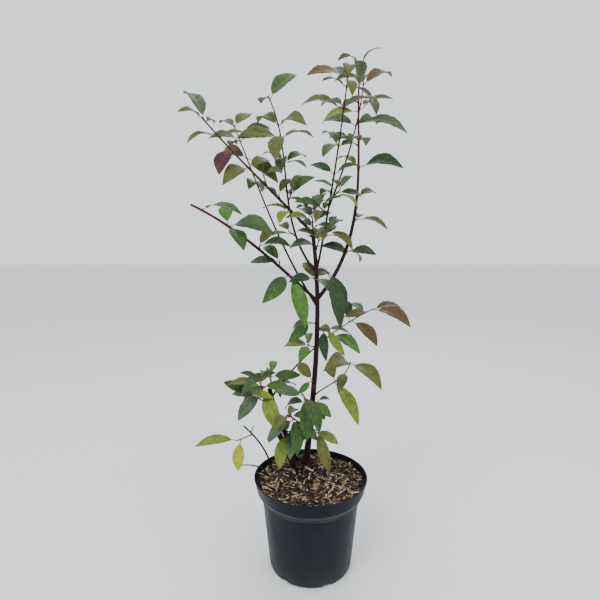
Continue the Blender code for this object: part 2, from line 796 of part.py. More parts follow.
def pot_inner_profile(clearance=0.0):
    """The inside from the rim down, or the mix's side where a clearance is given."""
    collar_foot = POT_HEIGHT - COLLAR_DEPTH
    return [
        (RIM_RADIUS - LIP - clearance, POT_HEIGHT),
        (COLLAR_RADIUS - WALL - clearance, collar_foot + 0.001),
        (SHOULDER_RADIUS - WALL - clearance, collar_foot - SHOULDER_DROP),
        (FOOT_RADIUS - WALL - clearance, FOOT_ROUND),
        (FOOT_RADIUS - FOOT_ROUND - clearance, FLOOR + clearance),
    ]


def make_pot():
    profile = [(0.0, 0.0)] + pot_outer_profile() + pot_inner_profile() + [(0.0, FLOOR)]
    points, faces = turned_solid(profile)
    finish = material("pot black plastic", (0.022, 0.026, 0.032), 0.42)
    pot = add_object("pot", points, faces, finish)
    for index in range(NOTCHES):
        turn = Matrix.Rotation(math.radians(NOTCH_BEARING + index * 360.0 / NOTCHES), 4, "Z")
        outer = FOOT_RADIUS + 0.010
        corners = [turn @ Vector((x, y * NOTCH_WIDTH * 0.5, z))
                   for x in (NOTCH_INNER_RADIUS, outer) for y in (-1.0, 1.0)
                   for z in (-0.005, NOTCH_HEIGHT)]
        box_faces = [(0, 1, 3, 2), (4, 6, 7, 5), (0, 4, 5, 1), (2, 3, 7, 6), (0, 2, 6, 4),
                     (1, 5, 7, 3)]
        cutter = add_object("cutter", corners, box_faces, finish)
        cut = pot.modifiers.new("notch", "BOOLEAN")
        cut.operation = "DIFFERENCE"
        cut.object = cutter
        cut.solver = "EXACT"
        settle_modifiers(pot)
        remove_objects([cutter])
    keep_largest_body(pot)
    return pot


def ground_level(x, y):
    """Height of the potting mix: a low crown, and a flat-topped mound about the stems."""
    radius = math.hypot(x, y) / (RIM_RADIUS - LIP)
    level = MIX_EDGE_LEVEL + MIX_CROWN * (1.0 - min(radius, 1.0) ** 2)
    away = (Vector((x, y)) - MOUND_CENTRE).length
    share = min(max((away - MOUND_FLAT_RADIUS) / MOUND_REACH, 0.0), 1.0)
    share = share * share * (3.0 - 2.0 * share)
    bumps = MIX_ROUGHNESS * (math.sin(143.0 * x + 1.3) * math.sin(171.0 * y + 0.4)
                             + 0.6 * math.sin(307.0 * x - 120.0 * y))
    bumps *= share * (1.0 - min(radius, 1.0) ** 6)
    return blend(MOUND_LEVEL, level, share) + bumps


def mix_solid(rise=0.0):
    """Points and faces of the mix, which fills the pot up to a rough top of rings.

    A cutter for what stands on the mix has its top that much higher.
    """
    side = list(reversed(pot_inner_profile(GAP)))[:-1]
    edge = COLLAR_RADIUS - WALL - GAP
    edge += (RIM_RADIUS - LIP - COLLAR_RADIUS + WALL) * (
        (MIX_EDGE_LEVEL - POT_HEIGHT + COLLAR_DEPTH) / COLLAR_DEPTH) - 0.0003
    profile = [(0.0, FLOOR + GAP)] + side + [(edge, MIX_EDGE_LEVEL)]
    points = [Vector((0.0, 0.0, profile[0][1]))]
    for radius, level in profile[1:]:
        points += ring_points(radius, level)
    for ring in range(1, MIX_RINGS):
        for point in ring_points(edge * (1.0 - ring / MIX_RINGS), 0.0):
            points.append(Vector((point.x, point.y, ground_level(point.x, point.y) + rise)))
    points.append(Vector((0.0, 0.0, ground_level(0.0, 0.0) + rise)))
    rings = (len(points) - 2) // POT_SIDES
    last = len(points) - 1
    faces = []
    for step in range(POT_SIDES):
        after = (step + 1) % POT_SIDES
        faces.append((0, 1 + after, 1 + step))
        faces.append((last, last - POT_SIDES + step, last - POT_SIDES + after))
        for ring in range(rings - 1):
            low, high = 1 + ring * POT_SIDES, 1 + (ring + 1) * POT_SIDES
            faces.append((low + step, low + after, high + after, high + step))
    return points, faces


def make_potting_mix():
    finish = material("potting mix", (0.060, 0.040, 0.028), 0.95)
    mix = add_object("potting_mix", *mix_solid(), finish)
    keep_largest_body(mix)
    return mix


def make_trunk():
    points, faces = limb_tube("trunk", 0.0, 1.0, TRUNK_SIDES, flat_foot=True)
    finish = material("trunk bark", (0.055, 0.024, 0.022), 0.62)
    return add_object("trunk", points, faces, finish, TRUNK_FOOT)


def make_bough(name):
    """The bare lower stretch of a limb."""
    limb = LIMBS[name]
    points, faces = limb_tube(name, 0.0, limb.bare, BOUGH_SIDES, flat_foot=bool(limb.ground))
    finish = material(f"bark {name}", (0.060, 0.026, 0.024), 0.60)
    bough = add_object(f"bough_{name}", points, faces, finish, limb_point(name, 0.0))
    cut_clear_of_carrier(bough, name)
    return bough


def make_foliage(name, taken):
    """The leafy stretch of a limb: its stem and leaves, fused into one solid."""
    limb = LIMBS[name]
    first = limb.bare + GAP / limb_length(name) if limb.bare else 0.0
    points, faces = limb_tube(name, first, 1.0, STEM_SIDES)
    finish = material(f"leaves {name}", (0.090, 0.160, 0.050), 0.55)
    foliage = add_object(f"foliage_{name}", points, faces, finish, limb_point(name, first))
    leaves = [add_object("leaf", leaf_points, leaf_faces, finish)
              for leaf_points, leaf_faces in grow_leaves(name, taken)]
    join_all(foliage, leaves)
    if not limb.bare:
        cut_clear_of_carrier(foliage, name)
    return foliage


def mesh_tree(piece):
    solid = bmesh.new()
    solid.from_mesh(piece.data)
    solid.transform(Matrix.Translation(piece.location))
    tree = BVHTree.FromBMesh(solid)
    solid.free()
    return tree


def main():
    for old in list(bpy.data.objects):
        bpy.data.objects.remove(old, do_unlink=True)
    pieces = [make_pot(), make_potting_mix(), make_trunk()]
    pieces += [make_bough(name) for name, limb in LIMBS.items() if limb.bare]
    taken = [("wood", mesh_tree(piece)) for piece in pieces]
    leafy = [name for name, limb in LIMBS.items() if limb.leaves]
    for name in leafy:
        limb = LIMBS[name]
        first = limb.bare + 0.002 if limb.bare else 0.3
        taken.append((name, tree_of(*limb_tube(name, first, 1.0, STEM_SIDES))))
    pieces += [make_foliage(name, taken) for name in leafy]
    plant = bpy.data.objects.new("potted_viburnum", None)
    bpy.context.scene.collection.objects.link(plant)
    for piece in pieces:
        piece.parent = plant


main()
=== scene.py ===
# Potted dawn viburnum, dressed: fine leaves, bark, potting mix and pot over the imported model.
#
# Units are metres and +Z is up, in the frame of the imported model. The limbs and their leaves
# grow by the same rule as its solids, with finer wood and leaves in the same reach.

import math
import random
from typing import NamedTuple

import bmesh
import bpy
import numpy as np
from mathutils import Matrix, Vector
from mathutils.kdtree import KDTree


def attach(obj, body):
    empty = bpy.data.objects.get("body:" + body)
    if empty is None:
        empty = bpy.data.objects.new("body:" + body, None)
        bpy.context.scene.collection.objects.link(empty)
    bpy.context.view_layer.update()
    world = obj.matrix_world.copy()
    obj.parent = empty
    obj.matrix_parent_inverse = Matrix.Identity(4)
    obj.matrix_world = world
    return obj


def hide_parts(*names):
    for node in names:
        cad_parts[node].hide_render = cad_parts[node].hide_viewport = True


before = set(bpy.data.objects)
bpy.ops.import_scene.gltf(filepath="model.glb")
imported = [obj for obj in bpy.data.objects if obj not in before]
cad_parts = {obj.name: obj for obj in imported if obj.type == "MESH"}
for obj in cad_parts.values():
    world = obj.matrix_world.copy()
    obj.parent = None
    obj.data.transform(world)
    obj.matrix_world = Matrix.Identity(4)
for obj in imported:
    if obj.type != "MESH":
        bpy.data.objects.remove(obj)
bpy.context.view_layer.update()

# Camera: eye-level view from the front, a little downward
CAMERA_PLACE = (-0.024, -0.965, 0.732)
CAMERA_PITCH = 7.3
CAMERA_LENS = 27.06

# Studio
FLOOR_HALF_SIZE = 14.0
SKY_STRENGTH = 1.45
LIGHT_AIM = Vector((0.0, 0.0, 0.5))

# Pot
POT_HEIGHT = 0.210
RIM_RADIUS = 0.1275
COLLAR_RADIUS = 0.1205
COLLAR_DEPTH = 0.0295
SHOULDER_RADIUS = 0.109
SHOULDER_DROP = 0.0175
FOOT_RADIUS = 0.0935
FOOT_ROUND = 0.008
WALL = 0.0018
LIP = 0.0026
FLOOR = 0.0026
POT_SIDES = 180
EDGE_ROUND = 0.0012
EDGE_STEPS = 4
NOTCHES = 6
NOTCH_BEARING = -68.0
NOTCH_WIDTH = 0.019
NOTCH_HEIGHT = 0.0075
NOTCH_INNER_RADIUS = 0.078

# Potting mix
MIX_EDGE_LEVEL = 0.1965
MIX_CROWN = 0.0035
MIX_ROUGHNESS = 0.0016
MOUND_CENTRE = Vector((-0.016, 0.040))
MOUND_LEVEL = 0.2125
MOUND_FLAT_RADIUS = 0.030
MOUND_REACH = 0.034
GAP = 0.0003
FOOT_SINK = 0.003

# Trunk
TRUNK_FOOT = Vector((-0.010, 0.045, MOUND_LEVEL + GAP))
TRUNK_REACH = Vector((0.012, -0.035, 0.547))
TRUNK_LOW_BOW = Vector((0.014, 0.0, 0.0))
TRUNK_HIGH_BOW = Vector((0.030, 0.0, 0.0))
TRUNK_FOOT_RADIUS = 0.0073
TRUNK_TIP_RADIUS = 0.0040
ROOT_FLARE = 0.0050
ROOT_FLARE_HEIGHT = 0.018

# Leaves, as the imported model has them
LEAF_SLIMNESS = 0.50
LEAF_FOLD = 0.24
LEAF_ARCH = 0.17
LIGHT = Vector((0.0, -0.60, 0.80))
PETIOLE_SHARE = 0.15
PETIOLE_RADIUS = 0.0011
PETIOLE_LIFT = 22.0
STEEPEST_PETIOLE = 80.0
LEAF_ROLL = 22.0
LEAF_JITTER = 4.0
TWIN_SHORTENING = 0.88
LEAF_TRIES = 10
TRY_TURN = 13.0
TIP_TOLERANCE = 0.0004


class Leaf(NamedTuple):
    """A leaf, and its twin on the other side of the stem where it has one.

    place runs from 0 at the limb's foot to 1 at its tip. bearing is the compass turn from
    +X towards +Y in degrees, and rise the slope of the blade. twin is the twin's rise.
    """

    place: float
    bearing: float
    rise: float
    length: float
    twin: float | None = None
    slimness: float = LEAF_SLIMNESS


class Limb(NamedTuple):
    """A limb: where it grows, how far it reaches, how it bows and tapers, and its leaves.

    bare is the share of its length that is bare wood. A limb on the ground names the place
    of its foot in ground, and any other grows on its carrier's own curve.
    """

    carrier: str
    at: float
    reach: tuple
    low_bow: tuple = (0.0, 0.0, 0.0)
    high_bow: tuple = (0.0, 0.0, 0.0)
    foot_radius: float = 0.0016
    tip_radius: float = 0.0010
    bare: float = 0.0
    leaves: tuple = ()
    ground: tuple | None = None


LIMBS = {
    # The long limb that leans out to the upper left
    "left_long": Limb(
        "trunk", 0.985, (-0.219, -0.060, 0.222), (-0.007, 0.0, 0.006), (-0.011, 0.0, 0.003),
        0.0034, 0.0014, 0.46, (
            Leaf(0.57, 239, -35, 0.075, 12),
            Leaf(0.74, 257, -56, 0.066, None, 0.68),
            Leaf(0.74, 80, 12, 0.050),
            Leaf(0.83, 212, -20, 0.060, 5),
            Leaf(0.96, 76, 8, 0.038),
            Leaf(0.97, 137, 38, 0.086),
            Leaf(0.99, 240, -6, 0.054),
        )),
    "left_long_spur_low": Limb(
        "left_long", 0.17, (-0.010, -0.012, 0.006), leaves=(
            Leaf(0.7, 151, 4, 0.060),
            Leaf(0.9, 250, -35, 0.048, None, 0.66),
        )),
    "left_long_spur_mid": Limb(
        "left_long", 0.28, (-0.006, 0.004, 0.014), leaves=(
            Leaf(0.75, 135, 5, 0.052),
            Leaf(0.9, 57, 34, 0.050),
        )),
    "left_long_spur_high": Limb(
        "left_long", 0.40, (-0.010, 0.006, 0.028), leaves=(
            Leaf(0.86, 314, -4, 0.048),
            Leaf(0.93, 124, 24, 0.050),
        )),

    # The straight limb behind it
    "left_upper": Limb(
        "trunk", 0.690, (-0.184, 0.050, 0.398), (-0.021, 0.0, -0.008), (-0.008, 0.0, -0.002),
        0.0026, 0.0012, 0.60, (
            Leaf(0.68, 262, -20, 0.066, -10),
            Leaf(0.82, 318, -40, 0.084, 10),
            Leaf(0.91, 42, 24, 0.078, -10),
            Leaf(0.985, 128, 14, 0.062),
            Leaf(0.99, 58, 29, 0.068, None, 0.60),
        )),

    # The low limb on the left, pruned flat at its end
    "left_low": Limb(
        "trunk", 0.715, (-0.249, -0.100, 0.200), (-0.007, 0.0, 0.018), (0.002, 0.0, 0.026),
        0.0037, 0.0023, 0.60, (
            Leaf(0.73, 335, -17, 0.088),
            Leaf(0.735, 92, 32, 0.058, None, 0.64),
            Leaf(0.715, 300, -34, 0.070, None, 0.56),
            Leaf(0.93, 331, -12, 0.090),
        )),
    "left_low_spur_foot": Limb(
        "left_low", 0.22, (-0.004, -0.012, 0.006), foot_radius=0.0018, leaves=(
            Leaf(0.80, 314, -68, 0.102, None, 0.38),
            Leaf(0.80, 221, -38, 0.078),
        )),
    "left_low_spur_inner": Limb(
        "left_low", 0.32, (0.002, 0.006, 0.010), leaves=(
            Leaf(0.80, 190, -6, 0.058),
            Leaf(0.95, 134, 26, 0.054),
        )),
    "left_low_spur_outer": Limb(
        "left_low", 0.47, (-0.004, 0.004, 0.010), leaves=(
            Leaf(0.85, 58, 36, 0.052),
            Leaf(0.95, 345, -8, 0.060),
        )),

    # The slim limb that rises left of the middle
    "centre_left": Limb(
        "trunk", 0.828, (-0.102, 0.024, 0.371), (-0.059, 0.0, -0.012), (0.023, 0.0, 0.007),
        0.0027, 0.0013, 0.54, (
            Leaf(0.63, 136, 15, 0.062, -20),
            Leaf(0.635, 49, 12, 0.060),
            Leaf(0.66, 244, -40, 0.066),
            Leaf(0.77, 217, -12, 0.084, 8),
            Leaf(0.79, 250, -45, 0.080),
            Leaf(0.84, 133, 13, 0.084, -12),
            Leaf(0.985, 46, 36, 0.094, None, 0.56),
            Leaf(0.99, 111, 6, 0.056),
        )),
    "centre_left_spur": Limb(
        "centre_left", 0.22, (-0.016, -0.010, 0.012), leaves=(
            Leaf(0.60, 200, -14, 0.056, -8),
            Leaf(0.95, 110, 10, 0.050),
        )),
    "centre_left_spur_high": Limb(
        "centre_left", 0.42, (0.008, -0.010, 0.020), leaves=(
            Leaf(0.60, 330, 30, 0.056, 10),
            Leaf(0.95, 70, 40, 0.050, 20),
        )),

    # The strong limb that bows out to the right
    "right_long": Limb(
        "trunk", 0.723, (0.088, 0.010, 0.498), (0.097, 0.0, -0.021), (0.014, 0.0, 0.004),
        0.0046, 0.0014, 0.50, (
            Leaf(0.575, 328, -12, 0.084, None, 0.54),
            Leaf(0.575, 140, 20, 0.060),
            Leaf(0.68, 70, 0, 0.070, -15),
            Leaf(0.80, 160, -20, 0.072, 5),
            Leaf(0.90, 80, 15, 0.075, 10),
            Leaf(0.985, 140, 20, 0.056, 15),
        )),
    "right_long_spur_low": Limb(
        "right_long", 0.22, (0.010, -0.004, 0.004), leaves=(
            Leaf(0.85, 330, -14, 0.056),
            Leaf(0.95, 60, -30, 0.050),
        )),
    "right_long_spur_mid": Limb(
        "right_long", 0.35, (0.008, 0.003, 0.008), leaves=(
            Leaf(0.80, 324, -20, 0.068),
            Leaf(0.95, 80, 4, 0.050),
        )),
    "right_long_spur_high": Limb(
        "right_long", 0.44, (0.004, -0.006, 0.012), leaves=(
            Leaf(0.75, 46, 8, 0.058),
            Leaf(0.90, 103, 46, 0.062, None, 0.56),
        )),

    # The limb that rises in the middle and leans forward
    "centre_right": Limb(
        "trunk", 0.828, (0.055, -0.086, 0.378), (0.009, 0.0, 0.018), (0.007, 0.0, 0.017),
        0.0026, 0.0012, 0.46, (
            Leaf(0.50, 150, 20, 0.052, 10),
            Leaf(0.64, 124, 30, 0.060),
            Leaf(0.65, 243, -27, 0.066),
            Leaf(0.64, 40, 5, 0.050),
            Leaf(0.83, 165, 2, 0.074),
            Leaf(0.845, 229, -16, 0.062),
            Leaf(0.84, 306, -12, 0.076),
            Leaf(0.94, 30, -10, 0.056, 0),
            Leaf(0.98, 280, -46, 0.050),
            Leaf(0.985, 130, 20, 0.056),
            Leaf(0.99, 75, 32, 0.056, None, 0.56),
            Leaf(0.985, 215, -10, 0.080),
        )),
    "centre_right_spur_low": Limb(
        "centre_right", 0.20, (0.016, 0.008, 0.014), leaves=(
            Leaf(0.50, 340, -40, 0.060, -20),
            Leaf(0.95, 60, 10, 0.048, 20),
        )),
    "centre_right_spur_left": Limb(
        "centre_right", 0.30, (-0.018, -0.012, 0.014), foot_radius=0.0017, leaves=(
            Leaf(0.45, 250, -30, 0.050, 10),
            Leaf(0.75, 190, 10, 0.050, 20),
            Leaf(0.97, 280, 20, 0.046, 30),
        )),
    "centre_right_spur_right": Limb(
        "centre_right", 0.37, (0.020, -0.016, 0.020), foot_radius=0.0017, leaves=(
            Leaf(0.40, 300, -30, 0.058, 0),
            Leaf(0.70, 20, -10, 0.054, 15),
            Leaf(0.97, 290, 20, 0.046, 25),
        )),

    # Its branch that leans back to the right
    "right_back": Limb(
        "centre_right", 0.33, (0.083, 0.109, 0.285), (0.007, 0.0, -0.009),
        (0.015, 0.0, -0.010), 0.0022, 0.0012, 0.44, (
            Leaf(0.52, 308, -6, 0.058),
            Leaf(0.54, 150, 10, 0.050),
            Leaf(0.68, 340, -15, 0.098, None, 0.40),
            Leaf(0.67, 51, 5, 0.070),
            Leaf(0.66, 150, 10, 0.070),
            Leaf(0.83, 60, -5, 0.072, -20),
            Leaf(0.975, 39, 18, 0.090),
            Leaf(0.985, 64, 52, 0.078, None, 0.56),
            Leaf(0.98, 200, 0, 0.060),
        )),

    # The leafy top of the trunk
    "leader_spur": Limb(
        "trunk", 0.96, (-0.004, -0.020, 0.055), foot_radius=0.0022, leaves=(
            Leaf(0.30, 262, -22, 0.062, 0, 0.62),
            Leaf(0.45, 320, -10, 0.058, 10),
            Leaf(0.62, 215, 5, 0.060, 15),
            Leaf(0.80, 300, 10, 0.056, 20),
            Leaf(0.96, 190, 30, 0.054, 30),
        )),
    "leader_spur_back": Limb(
        "trunk", 0.90, (0.012, 0.040, 0.040), foot_radius=0.0018, leaves=(
            Leaf(0.45, 20, -20, 0.064, -10),
            Leaf(0.75, 110, 0, 0.066, 0),
            Leaf(0.96, 50, 20, 0.056, 20),
        )),

    # Short twigs about the middle of the trunk
    "trunk_spur_fork": Limb(
        "trunk", 0.80, (-0.008, -0.012, 0.004), leaves=(
            Leaf(0.80, 307, -30, 0.062),
            Leaf(0.95, 210, -10, 0.054),
        )),
    "trunk_spur_back": Limb(
        "trunk", 0.78, (-0.006, 0.022, 0.014), leaves=(
            Leaf(0.60, 117, 28, 0.058, 10),
            Leaf(0.95, 60, 5, 0.060),
        )),
    "trunk_spur_hanging": Limb(
        "trunk", 0.835, (0.024, -0.034, -0.002), (0.0, 0.0, 0.005), (0.0, 0.0, 0.008),
        0.0016, 0.0012, 0.0, (
            Leaf(0.93, 280, -70, 0.108, None, 0.36),
            Leaf(0.95, 30, -62, 0.080, None, 0.38),
        )),
    "trunk_spur_left": Limb(
        "trunk", 0.62, (-0.014, -0.006, 0.004), leaves=(
            Leaf(0.85, 205, -35, 0.060),
            Leaf(0.90, 140, -20, 0.050),
        )),
    "trunk_spur_left_low": Limb(
        "trunk", 0.52, (-0.020, -0.010, 0.008), leaves=(
            Leaf(0.75, 190, -2, 0.050),
            Leaf(0.88, 230, -25, 0.052, 15),
            Leaf(0.97, 290, 40, 0.040),
        )),
    "trunk_spur_right": Limb(
        "trunk", 0.60, (0.022, 0.014, -0.004), leaves=(
            Leaf(0.60, 275, -56, 0.066, None, 0.40),
            Leaf(0.80, 325, -45, 0.066, None, 0.36),
            Leaf(0.95, 47, -24, 0.074),
        )),
    "trunk_spur_low": Limb(
        "trunk", 0.38, (-0.006, -0.016, 0.002), leaves=(
            Leaf(0.85, 130, 28, 0.050, None, 0.60),
            Leaf(0.95, 200, -38, 0.036),
        )),

    # Two old stems beside the trunk, cut back low down, with young shoots on top
    "stub_front": Limb(
        "ground", 0.0, (-0.068, -0.040, 0.194), (0.0, 0.0, 0.0), (-0.010, 0.0, 0.0),
        0.0072, 0.0056, 1.0, (), (-0.034, 0.022)),
    "stub_back": Limb(
        "ground", 0.0, (-0.064, -0.018, 0.188), (0.0, 0.0, 0.0), (-0.010, 0.0, 0.0),
        0.0070, 0.0056, 1.0, (), (-0.030, 0.056)),
    "low_left": Limb(
        "stub_front", 0.97, (-0.010, -0.010, 0.040), foot_radius=0.0024, leaves=(
            Leaf(0.28, 205, -50, 0.068),
            Leaf(0.34, 300, -50, 0.080),
            Leaf(0.60, 200, 6, 0.066, -12),
            Leaf(0.80, 250, -10, 0.052, 5),
            Leaf(0.97, 170, 20, 0.040, 25),
        )),
    "low_left_side": Limb(
        "stub_front", 0.90, (-0.034, -0.006, 0.020), foot_radius=0.0018, leaves=(
            Leaf(0.60, 230, 0, 0.050, -20),
            Leaf(0.96, 165, 22, 0.058, -4),
        )),
    "low_left_back": Limb(
        "stub_back", 0.96, (0.002, 0.012, 0.040), foot_radius=0.0024, leaves=(
            Leaf(0.35, 20, -20, 0.072, -30),
            Leaf(0.60, 110, -5, 0.070, -20),
            Leaf(0.80, 10, 0, 0.060, -10),
            Leaf(0.97, 80, 20, 0.046, 20),
        )),
    "cross": Limb(
        "stub_back", 0.888, (0.241, 0.060, 0.198), (-0.023, 0.0, 0.018), (-0.022, 0.0, 0.020),
        0.0024, 0.0011, 0.60, (
            Leaf(0.64, 313, -28, 0.078),
            Leaf(0.65, 110, -10, 0.070),
            Leaf(0.80, 96, 44, 0.056),
            Leaf(0.82, 314, -36, 0.076),
            Leaf(0.93, 134, 12, 0.058),
            Leaf(0.95, 200, -10, 0.052),
            Leaf(0.985, 20, -5, 0.078),
            Leaf(0.99, 330, -27, 0.086),
        )),

    # The thin limb low on the right
    "right_low": Limb(
        "trunk", 0.305, (0.074, -0.094, 0.107), (0.002, 0.0, 0.005), (0.019, 0.0, -0.014),
        0.0018, 0.0011, 0.0, (
            Leaf(0.50, 305, -47, 0.092, None, 0.40),
            Leaf(0.52, 100, 0, 0.064),
            Leaf(0.80, 250, -32, 0.052),
            Leaf(0.82, 307, -12, 0.056),
            Leaf(0.98, 228, 0, 0.082),
            Leaf(0.985, 314, -25, 0.078),
        )),
    "right_low_spur": Limb(
        "trunk", 0.28, (0.012, -0.014, 0.006), leaves=(
            Leaf(0.80, 330, 14, 0.030),
            Leaf(0.92, 300, -48, 0.038),
        )),

    # The leafy shoots over the front of the pot
    "low_front_left": Limb(
        "trunk", 0.13, (-0.050, -0.100, 0.088), (0.0, 0.0, 0.010), (0.0, 0.0, 0.014),
        0.0022, 0.0014, 0.36, (
            Leaf(0.50, 255, -52, 0.072, -40),
            Leaf(0.64, 195, -34, 0.064, -40),
            Leaf(0.76, 284, -62, 0.068, -35),
            Leaf(0.86, 212, -46, 0.060, -20),
            Leaf(0.97, 240, -12, 0.058, -15),
        )),
    "low_front": Limb(
        "trunk", 0.20, (-0.020, -0.075, 0.090), (0.0, 0.0, 0.008), (0.0, 0.0, 0.012),
        0.0020, 0.0013, 0.0, (
            Leaf(0.55, 190, -30, 0.066, -40),
            Leaf(0.80, 262, -70, 0.080, None, 0.48),
            Leaf(0.84, 170, 8, 0.056),
            Leaf(0.97, 315, -60, 0.076, None, 0.44),
        )),
    "low_front_right": Limb(
        "trunk", 0.10, (0.016, -0.070, 0.060), (0.0, 0.0, 0.008), (0.0, 0.0, 0.010),
        0.0018, 0.0012, 0.0, (
            Leaf(0.60, 190, -40, 0.066, -30),
            Leaf(0.95, 300, -62, 0.080, None, 0.38),
            Leaf(0.97, 220, -44, 0.058),
        )),
    "low_front_edge": Limb(
        "low_front_left", 0.30, (-0.034, -0.036, 0.004), foot_radius=0.0018, leaves=(
            Leaf(0.55, 240, -50, 0.060, -30),
            Leaf(0.97, 262, -60, 0.068, -20),
        )),

    # Thin old twigs at the foot, the first with its last two leaves
    "basal_twig": Limb(
        "ground", 0.0, (-0.055, -0.080, 0.150), (0.014, 0.0, 0.012), (0.010, 0.0, 0.010),
        0.0022, 0.0017, 1.0, (), (-0.088, 0.030)),
    "yellow_leaves": Limb(
        "basal_twig", 0.80, (-0.032, -0.010, -0.010), foot_radius=0.0014, leaves=(
            Leaf(0.75, 255, -72, 0.056, None, 0.58),
            Leaf(0.97, 190, -6, 0.078, None, 0.34),
        )),
    "basal_twig_stub": Limb(
        "basal_twig", 0.84, (0.006, 0.004, 0.014), foot_radius=0.0013, bare=1.0),
    "low_twig": Limb(
        "ground", 0.0, (-0.070, -0.045, 0.054), (0.016, 0.0, 0.026), (0.0, 0.0, 0.014),
        0.0018, 0.0012, 1.0, (), (-0.094, 0.006)),
}


def blend(low, high, share):
    return low + (high - low) * share


def limb_line(name):
    """The four control points of a limb's curve."""
    if name == "trunk":
        foot, reach = TRUNK_FOOT, TRUNK_REACH
        low_bow, high_bow = TRUNK_LOW_BOW, TRUNK_HIGH_BOW
    else:
        limb = LIMBS[name]
        reach, low_bow, high_bow = Vector(limb.reach), Vector(limb.low_bow), Vector(limb.high_bow)
        if limb.ground:
            x, y = limb.ground
            foot = Vector((x, y, ground_level(x, y) - FOOT_SINK))
        else:
            foot = limb_point(limb.carrier, limb.at)
    return (foot, foot + reach / 3.0 + low_bow, foot + reach * (2.0 / 3.0) + high_bow,
            foot + reach)


def limb_point(name, place):
    a, b, c, d = limb_line(name)
    rest = 1.0 - place
    return (a * rest ** 3 + b * (3.0 * place * rest ** 2) + c * (3.0 * place ** 2 * rest)
            + d * place ** 3)


def limb_heading(name, place):
    a, b, c, d = limb_line(name)
    rest = 1.0 - place
    slope = (b - a) * rest ** 2 + (c - b) * (2.0 * place * rest) + (d - c) * place ** 2
    return slope.normalized()


def limb_length(name):
    return Vector(TRUNK_REACH if name == "trunk" else LIMBS[name].reach).length


def limb_radius(name, place):
    if name == "trunk":
        flare = ROOT_FLARE * math.exp(-place * limb_length(name) / ROOT_FLARE_HEIGHT)
        return blend(TRUNK_FOOT_RADIUS, TRUNK_TIP_RADIUS, place) + flare
    limb = LIMBS[name]
    return blend(limb.foot_radius, limb.tip_radius, place)


def direction(bearing, rise):
    turn, slope = math.radians(bearing), math.radians(rise)
    return Vector((math.cos(slope) * math.cos(turn), math.cos(slope) * math.sin(turn),
                   math.sin(slope)))


def ground_level(x, y):
    """Height of the potting mix: a low crown, and a flat-topped mound about the stems."""
    radius = math.hypot(x, y) / (RIM_RADIUS - LIP)
    level = MIX_EDGE_LEVEL + MIX_CROWN * (1.0 - min(radius, 1.0) ** 2)
    away = (Vector((x, y)) - MOUND_CENTRE).length
    share = min(max((away - MOUND_FLAT_RADIUS) / MOUND_REACH, 0.0), 1.0)
    share = share * share * (3.0 - 2.0 * share)
    bumps = MIX_ROUGHNESS * (math.sin(143.0 * x + 1.3) * math.sin(171.0 * y + 0.4)
                             + 0.6 * math.sin(307.0 * x - 120.0 * y))
    bumps *= share * (1.0 - min(radius, 1.0) ** 6)
    return blend(MOUND_LEVEL, level, share) + bumps


# Colour of each kind of leaf, dealt out leaf by leaf
TINTS = {
    "dark_green": (0.014, 0.036, 0.010),
    "mid_green": (0.030, 0.066, 0.014),
    "bright_green": (0.046, 0.120, 0.016),
    "grey_green": (0.052, 0.085, 0.038),
    "olive": (0.066, 0.072, 0.012),
    "bronze": (0.068, 0.046, 0.014),
    "yellow_green": (0.115, 0.160, 0.016),
    "yellow": (0.280, 0.290, 0.020),
    "dark_red": (0.036, 0.004, 0.006),
}
TIP_TINTS = ("olive", "olive", "grey_green", "bronze", "mid_green")
INNER_TINTS = ("mid_green", "dark_green", "mid_green", "grey_green", "bright_green", "olive",
               "yellow_green", "dark_green", "mid_green", "olive")
TIP_STRETCH = 0.80
LEAF_TINTS = {
    ("left_long", "1a"): "dark_red",
    ("left_long", "0a"): "olive",
    ("left_low", "1a"): "bright_green",
    ("left_low", "3a"): "mid_green",
    ("left_low_spur_foot", "0a"): "bright_green",
    ("left_low_spur_foot", "1a"): "mid_green",
    ("trunk_spur_hanging", "0a"): "dark_green",
    ("trunk_spur_hanging", "1a"): "dark_green",
    ("centre_left", "6a"): "mid_green",
    ("yellow_leaves", "0a"): "yellow",
    ("yellow_leaves", "1a"): "yellow_green",
}

# Fine leaf
BLADE_STATIONS = 40
BLADE_HALF_COLUMNS = 5
BLADE_THICKNESS = 0.0004
BLADE_SLIMMING = 0.86
SIDEWAYS_BEND = 0.05
TOOTH_DEPTH = 0.055
BLADE_TWIST = 0.25
VEIN_PAIRS = 6
VEIN_SLANT = 0.20
VEIN_RELIEF = 0.008
VEIN_SHARPNESS = 24.0
MIDRIB_SHARPNESS = 40.0
VEIN_PALE = (0.30, 0.26, 0.14)
UNDERSIDE_PALE = (0.13, 0.15, 0.11)
MARGIN_WAVE = 0.007
MARGIN_WAVE_TURNS = 17.0
WAVE_PHASES = 6.28
PETIOLE_STEPS = 6
PETIOLE_SIDES = 7
PETIOLE_FOOT_SHARE = 0.95
PETIOLE_TIP_SHARE = 0.55
PETIOLE_COLOUR = (0.20, 0.045, 0.030)
PETIOLE_PALE = (0.26, 0.11, 0.05)

# Fine wood
WOOD_STEP = 0.005
TRUNK_SIDES = 28
BOUGH_SIDES = 16
STEM_SIDES = 10
NODE_SWELL = 0.16
NODE_SWELL_LENGTH = 0.004
BARK_RELIEF = 0.035

# Fine potting mix
MIX_RINGS = 64
MIX_SIDES = 200
MIX_GRAIN = 0.0012
SKIRT_DEPTH = 0.030
SKIRT_TAPER = 0.93

# Wood chips
CHIPS = 1250
CHIP_LENGTHS = (0.006, 0.022)
CHIP_WIDTHS = (0.0014, 0.0044)
CHIP_THICKNESSES = (0.0009, 0.0022)
SHORT_CHIP = 0.55
CHIP_EDGE_GAP = 0.006
MOUND_BLACK_CHIP_SHARE = 0.85

